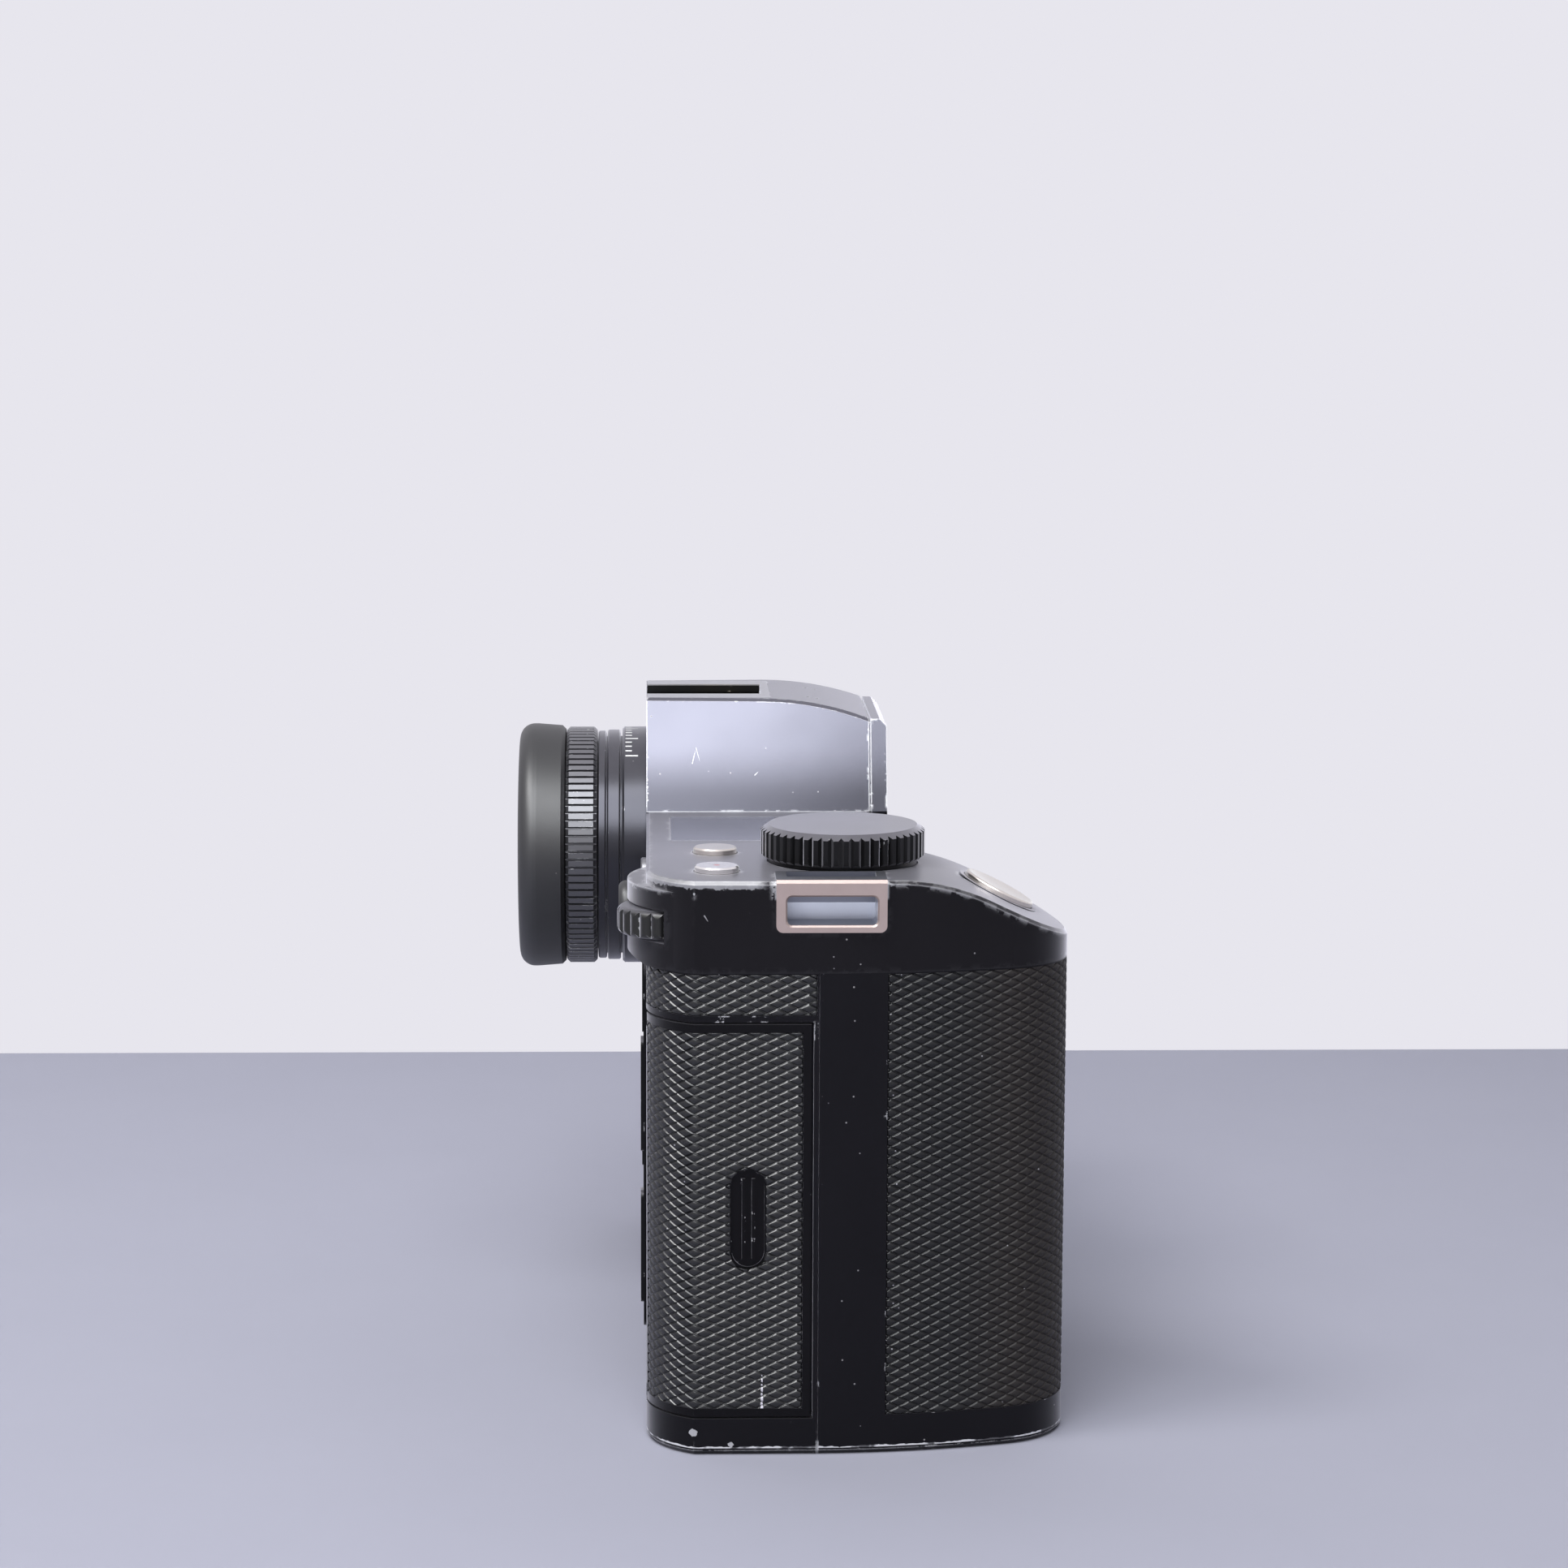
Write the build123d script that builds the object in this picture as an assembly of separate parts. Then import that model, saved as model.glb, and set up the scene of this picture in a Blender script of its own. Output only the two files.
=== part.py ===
from build123d import *
import math
import os

os.makedirs("parts", exist_ok=True)

# A mirrorless camera body without its lens, in millimetres.
# X runs from the grip end (-) to the far end (+), seen from the front.
# The front faces -Y, Z is up. The origin is the tripod socket's mouth in the base,
# under the lens axis. "Depth" is measured forward from the body's rear face.

# Main body
REAR_TO_SOCKET = 16.0
GRIP_END = 86.0
FAR_END = 61.0
BODY_DEPTH = 36.0
SHOULDER = 86.4
BAND_HEIGHT = 13.6
HUMP_RISE = 17.6
WALL = 3.0
TOP_THICK = 2.2
SEAM_DEPTH = 25.35
SEAM_GAP = 0.1
EDGE_BREAK = 0.5
FOOT_BREAK = 0.72

# Corners of the plan outline
REAR_CORNER_X = 11.4
REAR_CORNER_DEPTH = 7.0
FAR_FRONT_RADIUS = 9.0

# Grip
GRIP_START_DEPTH = 24.0
GRIP_SIDE_RADIUS = 105.0
GRIP_SIDE_TURN = 16.7
GRIP_NOSE_RADIUS = 12.6
GRIP_INNER_HEADING = 80.0
GRIP_ROOT_RADIUS = 9.0
SLOPE_START_DEPTH = 36.0
SLOPE_RADIUS = 32.0
SLOPE_ANGLE = 27.0

# Clearances
FIT_GAP = 0.08
BUTTON_GAP = 0.2
LOOSE_GAP = 0.35

# Leather skins
SKIN = 0.7
SKIN_BOTTOM = 5.9
SKIN_MARGIN = 0.2
STRIP_HEIGHT = 6.3
STRIP_REACH = 15.0
GRIP_SKIN_DEPTH = 35.45

# Lens mount
LENS_Z = 46.0
FLANGE_DEPTH = 39.0
MOUNT_OUTER = 32.0
MOUNT_BORE = 26.6
TAB_REACH = 1.7
BAYONET_TABS = 3
BAYONET_TAB_ANGLE = 58.0
BAYONET_TAB_THICK = 1.5
BAYONET_TAB_SET = 0.5
BOSS_RIM = 3.4
MOUNT_BOSS_HEIGHT = 1.3
MOUNT_SCREWS = 4
MOUNT_SCREW_RADIUS = 1.5
MOUNT_SCREW_SEAT = 1.0
CHAMBER_WALL = 1.2
FLANGE_TO_SENSOR = 19.0
CHAMBER_TO_SENSOR = 6.0
SENSOR_X = 36.0
SENSOR_Z = 24.0
SENSOR_COVER = 1.4
SENSOR_BLOCK_DEEP = 5.0
SENSOR_BLOCK_X = 29.0
SENSOR_BLOCK_UP = 19.0
SENSOR_BLOCK_DOWN = 22.0
STANDOFF = 2.4
BOARD_THICK = 1.4
BOARD_X = (-48.0, 50.0)
BOARD_Z = (10.0, 62.0)
CONTACT_COUNT = 10
CONTACT_PITCH = 2.3
CONTACT_PIN = 0.6
CONTACT_PINS_DROP = 22.6
CONTACT_BLOCK_DROP = 21.2
CONTACT_BLOCK_HALF = 13.0
CONTACT_BLOCK_DEEP = 7.1

# Lens release and lock
RELEASE_BESIDE = 4.8
RELEASE_BELOW = 14.5
RELEASE_RADIUS = 4.9
RELEASE_RIM = 1.4
RELEASE_PROUD = 1.9
RELEASE_ROUND = 0.5
LOCK_PIN_RADIUS = 1.2
LOCK_PIN_ANGLE = 192.0
LOCK_PIN_PROUD = 1.2

# Viewfinder hump
HUMP_BASE_REAR = 19.4
HUMP_TOP_REAR = 11.8
HUMP_BASE_FRONT = 19.1
HUMP_TOP_FRONT = 13.9
HUMP_FLAT_DEPTH = 19.0
HUMP_FALL_RADIUS = 50.0
HUMP_FALL_TURN = 30.0
HUMP_WALL = 2.2
HUMP_ROOF = 1.9
SOUND_HOLE_X = 6.0
SOUND_HOLE_DEPTHS = (26.4, 27.9)
SOUND_HOLE_RADIUS = 0.3
SOUND_HOLE_DEEP = 1.2
FACE_PLATE_GAP = 0.35
FACE_PLATE_SET = 0.1
FACE_PLATE_SKIRT = 6.5
FACE_PLATE_DROP = 3.1
FACE_PLATE_BREAK = 1.1

# Hot shoe
SHOE_WIDTH = 21.4
SHOE_LENGTH = 20.0
SHOE_STOP = 1.2
SHOE_CHANNEL = 18.6
SHOE_RAIL_GAP = 12.5
SHOE_CHANNEL_HEIGHT = 2.1
SHOE_RAIL = 1.2
SHOE_FLOOR = 0.8
SHOE_PLATE_THICK = 0.25
SHOE_CONTACTS = 4
SHOE_CONTACT_PITCH = 2.6
SHOE_CONTACT_WIDTH = 1.4
SHOE_CONTACT_SPAN = (3.0, 4.8)
SHOE_PLATE_SPAN = (-6.0, 5.5)
SHOE_CENTRE_RADIUS = 1.6

# Eyepiece, from the body rearwards
EYE_DROP = 8.4
EYE_TUBE = 15.6
EYE_TUBE_WALL = 2.0
EYE_TUBE_SEAT = 1.3
EYE_FLANGE_RADIUS = 19.55
EYE_FLANGE_LENGTH = 3.95
FLANGE_GAP = 0.34
RING_GAP = 0.2
RING_BREAK = 0.2
RING_TWO_RADIUS = 19.05
RING_TWO_LENGTH = 2.1
RING_ONE_RADIUS = 18.85
RING_ONE_LENGTH = 1.35
KNURL_RADIUS = 19.55
KNURL_LENGTH = 4.97
KNURL_RIB_COUNT = 96
KNURL_CUT = 0.55
KNURL_BREAK = 0.5
CUP_RADIUS = 20.1
CUP_TAPER = 0.3
CUP_LENGTH = 7.54
CUP_OPENING = 12.6
CUP_ROUND = 2.4
LENS_RADIUS = 11.4
LENS_DOME = 45.0
LENS_CELL_LENGTH = 4.4
LENS_CELL_GAP = 0.3
MODULE_X = 12.5
MODULE_GAP = 0.6

# Top dial, buttons and display
DIAL_FROM_END = 19.65
DIAL_DEPTH = 29.5
DIAL_RADIUS = 12.3
DIAL_LIFT = 0.7
DIAL_HEIGHT = 4.85
DIAL_GROOVE_COUNT = 50
DIAL_CUT = 0.55
DIAL_BREAK = 1.15
DIAL_SHAFT = 3.0
DIAL_UNDERCUT = 1.1
DIAL_RECESS = 0.6
BUTTON_DEPTH = 10.43
BUTTON_PLACES = (26.7, 9.7)
BUTTON_RADIUS = 3.3
BUTTON_PROUD = 0.9
BUTTON_TRAVEL = 0.6
BUTTON_SEAT = 0.8
DISPLAY_BESIDE_HUMP = 5.3
DISPLAY_WIDTH = 23.3
DISPLAY_DEPTHS = (3.8, 30.8)
DISPLAY_THICK = 0.9
SHUTTER_FROM_END = 18.5
SHUTTER_DEPTH = 52.8
SHUTTER_RADIUS = 5.6
SHUTTER_PROUD = 1.0
SHUTTER_ROUND = 0.35
SHUTTER_DISH = 30.0
SHUTTER_DISH_DEEP = 0.45
SHUTTER_STEM = 4.1
COLLAR_WIDTH = 0.7
COLLAR_PROUD = 0.15
COLLAR_SEAT = 1.5
STEM_RADIUS = 1.6
STEM_LENGTH = 2.4
STEM_HEAD = 0.8
STEM_CLIP = 0.9

# Thumb wheel, the bulge behind it, and the stick
WHEEL_FROM_END = 11.5
WHEEL_DEPTH = 3.6
WHEEL_RADIUS = 7.9
WHEEL_LOBES = 24
WHEEL_CUT = 0.5
WHEEL_ROUND = 1.0
WHEEL_DROP = 5.3
WHEEL_HEIGHT = 4.1
WHEEL_GAP = 0.4
WHEEL_AXLE = 1.2
BULGE_REACH = 2.8
BULGE_DROP = 1.9
BULGE_SLANT = 1.5
BULGE_START = (1.9, 4.3)
BULGE_PEAK = 15.5
BULGE_END = 25.0
STICK_FROM_END = 30.0
STICK_DROP = 8.5
STICK_CAP = 3.6
STICK_CAP_THICK = 2.4
STICK_CAP_ROUND = 1.2
STICK_DISH = 8.0
STICK_DISH_DEEP = 0.6
STICK_STEM = 1.1
STICK_WELL = 4.7
STICK_REAR = -4.3
STICK_PIVOT_DEPTH = 1.0
GIMBAL_RADIUS = 3.0
GIMBAL_BORE = 1.5
GIMBAL_THICK = 0.9
GIMBAL_PIN = 0.35
PLUNGER_RADIUS = 4.5
PLUNGER_THICK = 1.2

# Strap lugs
LUG_DEPTHS = (19.0, 35.2)
LUG_HEIGHT = 7.5
LUG_TO_DIAL = 0.2
LUG_PLATE = 3.2
LUG_PROUD = 0.25
LUG_ROUND = 1.0
LUG_BREAK = 0.45
LUG_SLOT_ROUND = 0.7
LUG_SLOT_BREAK = 0.25
LUG_SLOT = (20.6, 33.8)
LUG_SLOT_LOW = 1.05
LUG_SLOT_HEIGHT = 4.25
LUG_TOP_SLOT = 4.25
LUG_WALL = 1.6

# Card door
DOOR_UNDER_BAND = 7.6
DOOR_TO_SEAM = 1.1
DOOR_THICK = 1.7
DOOR_GAP = 0.35
DOOR_PIN_INSET = 0.6
DOOR_PIN_DEPTH = 1.6
DOOR_KNUCKLE = 1.5
DOOR_PIN = 0.6
DOOR_EAR = 1.0
DOOR_EAR_SPAN = 2.2
DOOR_BAR = 1.2
DOOR_SKIN_MARGIN = 1.2
FINGER_DEPTHS = (12.6, 17.4)
FINGER_RISE = 22.7
FINGER_LENGTH = 14.6
FINGER_CUT = 1.1
CARD_BAY_DEPTHS = (6.6, 16.4)
CARD_BAY_RISE = 11.1
CARD_BAY_LENGTH = 32.0
CARD_SLOT = (25.0, 2.6)
CARD_PITCH = 4.6
CARD_LENGTH = 30.0

# Port doors at the far end
PORT_BEHIND = 2.0
PORT_WIDTH = 19.0
PORT_LOW = 12.0
LOWER_PORT_HEIGHT = 23.0
PORT_BETWEEN = 3.0
PORT_UNDER_BAND = 8.8
PORT_THICK = 1.6
PORT_PIN = 0.6
PORT_PIN_REACH = 0.7
PORT_WINDOW_MARGIN = (5.0, 4.0)
CONNECTOR_PANEL = 2.6
CONNECTOR_SEAT = 0.4
WIDE_PORT = (5.2, 15.0)
WIDE_PORT_DROP = 4.0
SMALL_PORT = (3.4, 7.0)
SMALL_PORT_DROP = 1.0
JACK_RADIUS = 1.9
JACK_DROP = 13.0

# Rear panel, display and buttons
PANEL_LOW = 9.5
PANEL_UNDER_BAND = 5.3
PANEL_ROUND = 2.5
PANEL_PROUD = 0.45
PANEL_SEAT = 1.0
PANEL_BESIDE_BAR = 5.6
GLASS_X = 39.0
GLASS_RISE = 2.0
GLASS_UNDER_EYE = 2.45
GLASS_LEDGE = 3.0
MODULE_DEPTH = 6.4
BAR_BESIDE_GLASS = 4.4
BAR_WIDTH = 4.0
BAR_DROP = 1.1
BAR_BETWEEN = 6.3
BAR_PROUD = 0.45
BAR_TRAVEL = 0.5
EYE_BUTTON_BESIDE = 8.45
EYE_BUTTON_DROP = 8.6
EYE_BUTTON_RADIUS = 2.6
EYE_BUTTON_PROUD = 0.9
LEVER_FROM_END = 12.5
LEVER_DROP = 7.0
LEVER_RADIUS = 5.2
LEVER_THICK = 2.2
LEVER_WIDTH = 3.8
LEVER_REACH = 9.0
LAMP_BESIDE_HUMP = 17.9
LAMP_DROP = 6.8
LAMP_RADIUS = 2.7
LAMP_DEEP = 1.2

# Battery and base
BATTERY_FROM_END = 9.0
BATTERY_WIDTH = 14.5
BATTERY_DEPTHS = (18.0, 52.0)
BATTERY_HEIGHT = 61.6
BATTERY_LIFT = 0.4
BATTERY_ROUND = 2.0
CHAMBER_SIDE = 1.0
BASE_INSET = 1.6
BASE_THICK = 2.0
SOCKET_RADIUS = 3.175
SOCKET_LENGTH = 6.0
SOCKET_END = 1.5
SOCKET_OUTER = 8.0
CATCH_BESIDE_BATTERY = 6.0
CATCH_DEPTHS = (21.0, 29.0)
CATCH_WIDTH = 4.4
CATCH_TRAVEL = 4.0
CATCH_SEAT = 1.2
CATCH_STEM = 0.9

# Far outside the body, for cuts that go all the way
FAR_OUT = 200.0

# Heights that follow from the sizes above
REAR_Y = REAR_TO_SOCKET
BAND_BOTTOM = SHOULDER - BAND_HEIGHT
TOTAL_HEIGHT = SHOULDER + HUMP_RISE
SHOE_FLOOR_Z = TOTAL_HEIGHT - SHOE_RAIL - SHOE_CHANNEL_HEIGHT
HUMP_INNER_TOP = SHOE_FLOOR_Z - SHOE_FLOOR - HUMP_ROOF
FACE_PLATE_TOP = TOTAL_HEIGHT - FACE_PLATE_DROP
FACE_PLATE_LOW = SHOULDER - FACE_PLATE_SKIRT
EYE_Z = SHOULDER - EYE_DROP
WHEEL_SPAN = (SHOULDER - WHEEL_DROP - WHEEL_HEIGHT, SHOULDER - WHEEL_DROP)
BULGE_SPAN = (BAND_BOTTOM + SEAM_GAP / 2, SHOULDER - BULGE_DROP)
STICK_Z = SHOULDER - STICK_DROP
LUG_BOTTOM = SHOULDER - LUG_HEIGHT
LUG_SLOT_Z = (LUG_BOTTOM + LUG_SLOT_LOW, LUG_BOTTOM + LUG_SLOT_LOW + LUG_SLOT_HEIGHT)
STRIP_BOTTOM = BAND_BOTTOM - STRIP_HEIGHT
DOOR_Z = (SKIN_BOTTOM, BAND_BOTTOM - DOOR_UNDER_BAND)
FINGER_Z = (DOOR_Z[0] + FINGER_RISE, DOOR_Z[0] + FINGER_RISE + FINGER_LENGTH)
CARD_BAY_Z = (DOOR_Z[0] + CARD_BAY_RISE, DOOR_Z[0] + CARD_BAY_RISE + CARD_BAY_LENGTH)
PORT_SPLIT = PORT_LOW + LOWER_PORT_HEIGHT
PORT_SPANS = ((PORT_LOW, PORT_SPLIT), (PORT_SPLIT + PORT_BETWEEN, BAND_BOTTOM - PORT_UNDER_BAND))
PANEL_Z = (PANEL_LOW, BAND_BOTTOM - PANEL_UNDER_BAND)
GLASS_Z = (PANEL_LOW + GLASS_RISE, EYE_Z - EYE_FLANGE_RADIUS - GLASS_UNDER_EYE)
BAR_LENGTH = (GLASS_Z[1] - GLASS_Z[0] - 2 * BAR_DROP - BAR_BETWEEN) / 2
BAR_TOPS = (GLASS_Z[1] - BAR_DROP, GLASS_Z[1] - BAR_DROP - BAR_LENGTH - BAR_BETWEEN)
EYE_BUTTON_Z = SHOULDER - EYE_BUTTON_DROP
LEVER_Z = SHOULDER - LEVER_DROP
LAMP_Z = SHOULDER - LAMP_DROP
RELEASE_Z = LENS_Z - RELEASE_BELOW
BATTERY_TOP = BATTERY_LIFT + BATTERY_HEIGHT

# Places along the width
DIAL_X = -GRIP_END + DIAL_FROM_END
DIAL_SKIRT = DIAL_RADIUS - DIAL_UNDERCUT
LUG_REACH = DIAL_FROM_END - DIAL_SKIRT - BUTTON_GAP - LUG_TO_DIAL
BUTTON_XS = [-GRIP_END + place for place in BUTTON_PLACES]
DISPLAY_X = (-HUMP_BASE_REAR - DISPLAY_BESIDE_HUMP - DISPLAY_WIDTH, -HUMP_BASE_REAR - DISPLAY_BESIDE_HUMP)
SHUTTER_X = -GRIP_END + SHUTTER_FROM_END
WHEEL_X = -GRIP_END + WHEEL_FROM_END
STICK_X = -GRIP_END + STICK_FROM_END
BULGE_END_X = -GRIP_END + BULGE_END
STRIP_WRAP = GRIP_END - STRIP_REACH
DOOR_PIN_X = -GRIP_END + REAR_CORNER_X - DOOR_PIN_INSET
BAR_X = GLASS_X + BAR_BESIDE_GLASS + BAR_WIDTH / 2
PANEL_X = BAR_X + PANEL_BESIDE_BAR
EYE_BUTTON_X = -EYE_FLANGE_RADIUS - EYE_BUTTON_BESIDE
LEVER_X = FAR_END - LEVER_FROM_END
LAMP_X = -HUMP_BASE_FRONT - LAMP_BESIDE_HUMP
BAYONET_INNER = MOUNT_BORE - TAB_REACH
MOUNT_BOSS_RADIUS = MOUNT_OUTER + BOSS_RIM
MOUNT_SCREW_CIRCLE = (MOUNT_OUTER + MOUNT_BORE) / 2
CHAMBER_OUTER = MOUNT_BORE + CHAMBER_WALL
RELEASE_X = -MOUNT_BOSS_RADIUS - RELEASE_BESIDE
GRIP_SKIN_INNER_X = MOUNT_BOSS_RADIUS + SKIN_MARGIN
BATTERY_X = (-GRIP_END + BATTERY_FROM_END, -GRIP_END + BATTERY_FROM_END + BATTERY_WIDTH)
CATCH_X = BATTERY_X[1] + CATCH_BESIDE_BATTERY

# Depths
SENSOR_DEPTH = FLANGE_DEPTH - FLANGE_TO_SENSOR
CHAMBER_REAR_DEPTH = SENSOR_DEPTH + CHAMBER_TO_SENSOR
MODULE_FRONT = CHAMBER_REAR_DEPTH - MODULE_GAP
FACE_PLATE_DEPTH = FLANGE_DEPTH - FACE_PLATE_SET
DOOR_FRONT = SEAM_DEPTH - DOOR_TO_SEAM
PORT_DEPTHS = (REAR_CORNER_DEPTH + PORT_BEHIND, REAR_CORNER_DEPTH + PORT_BEHIND + PORT_WIDTH)
PORT_WINDOW_DEPTHS = (PORT_DEPTHS[0] + PORT_WINDOW_MARGIN[0], PORT_DEPTHS[1] - PORT_WINDOW_MARGIN[1])
PORT_WINDOW_Z = (PORT_LOW + WALL, PORT_SPANS[1][1] - PORT_WINDOW_MARGIN[1])
EYE_FLANGE_REAR = -EYE_FLANGE_LENGTH
RING_TWO = (EYE_FLANGE_REAR - FLANGE_GAP - RING_TWO_LENGTH, EYE_FLANGE_REAR - FLANGE_GAP)
RING_ONE = (RING_TWO[0] - RING_GAP - RING_ONE_LENGTH, RING_TWO[0] - RING_GAP)
KNURL_SPAN = (RING_ONE[0] - RING_GAP - KNURL_LENGTH, RING_ONE[0] - RING_GAP)
CUP_SPAN = (KNURL_SPAN[0] - RING_GAP - CUP_LENGTH, KNURL_SPAN[0] - RING_GAP)
EYE_TUBE_REAR = CUP_SPAN[1] - EYE_TUBE_SEAT
EYE_TUBE_INNER = EYE_TUBE - EYE_TUBE_WALL
LENS_CELL_SPAN = (RING_ONE[0] - RING_GAP - LENS_CELL_LENGTH, RING_ONE[0] - RING_GAP)


def block(x0, x1, d0, d1, z0, z1):
    """A box between two X values, two depths and two heights."""
    centre = Pos((x0 + x1) / 2, REAR_Y - (d0 + d1) / 2, (z0 + z1) / 2)
    return centre * Box(x1 - x0, d1 - d0, z1 - z0)


def rod_z(x, depth, z0, z1, radius):
    """An upright cylinder."""
    return Pos(x, REAR_Y - depth, (z0 + z1) / 2) * Cylinder(radius, z1 - z0)


def rod_y(x, z, d0, d1, radius):
    """A cylinder along the depth."""
    return Pos(x, REAR_Y - (d0 + d1) / 2, z) * Rot(90, 0, 0) * Cylinder(radius, d1 - d0)


def rod_x(x0, x1, depth, z, radius):
    """A cylinder along the width."""
    return Pos((x0 + x1) / 2, REAR_Y - depth, z) * Rot(0, 90, 0) * Cylinder(radius, x1 - x0)


def eye_rod(d0, d1, radius):
    """A cylinder on the eyepiece's axis."""
    return rod_y(0, EYE_Z, d0, d1, radius)


def lens_rod(d0, d1, radius):
    """A cylinder on the lens axis."""
    return rod_y(0, LENS_Z, d0, d1, radius)


def rounded_block(x0, x1, d0, d1, z0, z1, radius, axis):
    """A box with its four edges along one axis rounded."""
    solid = block(x0, x1, d0, d1, z0, z1)
    return fillet(solid.edges().filter_by(axis), radius)


def edges_where(solid, test):
    """The edges whose middle passes a test."""
    return [edge for edge in solid.edges() if test(edge.center())]


def plan_pieces():
    """The body's outline seen from above, as tangent lines and arcs."""
    rear = REAR_Y
    front = REAR_Y - BODY_DEPTH
    near = -GRIP_END
    start = (near + REAR_CORNER_X, rear)
    crease = (near, rear - REAR_CORNER_DEPTH)
    flat_end = (near, rear - GRIP_START_DEPTH)
    corner = TangentArc(start, crease, tangent=(-1, 0))
    flat = Line(crease, flat_end)
    side = JernArc(flat_end, (0, -1), GRIP_SIDE_RADIUS, GRIP_SIDE_TURN)
    turn = 90 + GRIP_INNER_HEADING - GRIP_SIDE_TURN
    nose = JernArc(side @ 1, side % 1, GRIP_NOSE_RADIUS, turn)
    heading = math.radians(GRIP_INNER_HEADING)
    root_rise = GRIP_ROOT_RADIUS * (1 - math.cos(heading))
    length = (front - (nose @ 1).Y - root_rise) / math.sin(heading)
    inner = Line(nose @ 1, nose @ 1 + (nose % 1) * length)
    root = JernArc(inner @ 1, nose % 1, GRIP_ROOT_RADIUS, -GRIP_INNER_HEADING)
    face = Line(root @ 1, (FAR_END - FAR_FRONT_RADIUS, front))
    far_corner = JernArc(face @ 1, (1, 0), FAR_FRONT_RADIUS, 90)
    far_crease = (FAR_END, rear - REAR_CORNER_DEPTH)
    far_side = Line(far_corner @ 1, far_crease)
    far_rear = (FAR_END - REAR_CORNER_X, rear)
    far_arc = TangentArc(far_rear, far_crease, tangent=(1, 0))
    back = Line(far_rear, start)
    return [corner, flat, side, nose, inner, root, face, far_corner, far_side, far_arc, back]


def closed_face(*pieces):
    """A face inside lines, arcs and polylines that meet end to end."""
    return make_face([edge for piece in pieces for edge in piece.edges()])


OUTLINES = {0: closed_face(*plan_pieces())}


def plan(inset):
    """The outline moved inwards by an inset."""
    if inset not in OUTLINES:
        OUTLINES[inset] = offset(OUTLINES[0], amount=-inset, kind=Kind.INTERSECTION)
    return OUTLINES[inset]


def slab(inset, z0, z1):
    """The inset outline between two heights."""
    return Pos(0, 0, z0) * extrude(plan(inset), amount=z1 - z0)


def skin(outer, inner, z0, z1):
    """A layer that follows the outline between two insets."""
    return slab(outer, z0, z1) - slab(inner, z0 - 1, z1 + 1)


def side_prism(face, x0, x1):
    """A profile drawn in (Y, Z) and drawn out along X."""
    return Pos(x0, 0, 0) * extrude(Plane.YZ * face, amount=x1 - x0)


def front_prism(points, d0, d1):
    """A polygon drawn in (X, Z) and drawn out over a range of depths."""
    face = make_face(Polyline(*points, close=True))
    placed = Plane(origin=(0, REAR_Y - d0, 0), x_dir=(1, 0, 0), z_dir=(0, -1, 0)) * face
    return extrude(placed, amount=d1 - d0)


def slope_cut(drop):
    """Everything above the sloping top of the grip, lowered by a drop."""
    top = SHOULDER - drop
    above = TOTAL_HEIGHT + 10
    start = (REAR_Y - SLOPE_START_DEPTH, top)
    bend = JernArc(start, (-1, 0), SLOPE_RADIUS, SLOPE_ANGLE)
    fall = Line(bend @ 1, bend @ 1 + (bend % 1) * GRIP_END)
    lid = Polyline(fall @ 1, ((fall @ 1).X, above), (start[0], above), start)
    return side_prism(closed_face(bend, fall, lid), -GRIP_END - 5, 0)


def lobed_face(count, crest, valley):
    """A disc's outline of broad lobes that meet in narrow valleys."""
    def at(radius, turn):
        return (radius * math.cos(turn), radius * math.sin(turn))

    pitch = 2 * math.pi / count
    return closed_face(*[ThreePointArc(at(valley, (i - 0.5) * pitch), at(crest, i * pitch),
                                       at(valley, (i + 0.5) * pitch)) for i in range(count)])


def ribbed_face(count, outer, root, land, floor):
    """A ribbed disc's outline, with the shares of a pitch that land and floor take."""
    points = []
    pitch = 2 * math.pi / count
    for i in range(count):
        for radius, share in ((outer, -land), (outer, land), (root, 1 - floor), (root, 1 + floor)):
            angle = pitch * (i + share / 2)
            points.append((radius * math.cos(angle), radius * math.sin(angle)))
    return make_face(Polyline(*points, close=True))


def save(solid, name):
    """Write one node."""
    solid.label = name
    export_step(solid, f"parts/{name}.step")


def as_one(solids):
    """Several separate solids as one node."""
    return Compound(children=list(solids))


def lug_body(side, gap):
    """One strap lug's outer block, at the end face given by side, grown by a gap."""
    end = -GRIP_END if side < 0 else FAR_END
    proud = LUG_PROUD if gap == 0 else 1
    xs = sorted((end + side * proud, end - side * (LUG_REACH + gap)))
    return block(*xs, LUG_DEPTHS[0] - gap, LUG_DEPTHS[1] + gap, LUG_BOTTOM - gap, SHOULDER + proud)


def lower_rounded(solid):
    """A block with its two lower edges along the width rounded."""
    low = solid.bounding_box().min.Z
    edges = [edge for edge in solid.edges().filter_by(Axis.X) if edge.center().Z < low + 0.01]
    return fillet(edges, LUG_ROUND)


def lug_seat(side):
    """What a strap lug needs in the top plate, open to the end face and the top."""
    end = -GRIP_END if side < 0 else FAR_END
    mouth = block(end - 1, end + 1, *LUG_DEPTHS, LUG_BOTTOM, SHOULDER + 1)
    return lower_rounded(lug_body(side, 0)) + lower_rounded(mouth)


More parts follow.
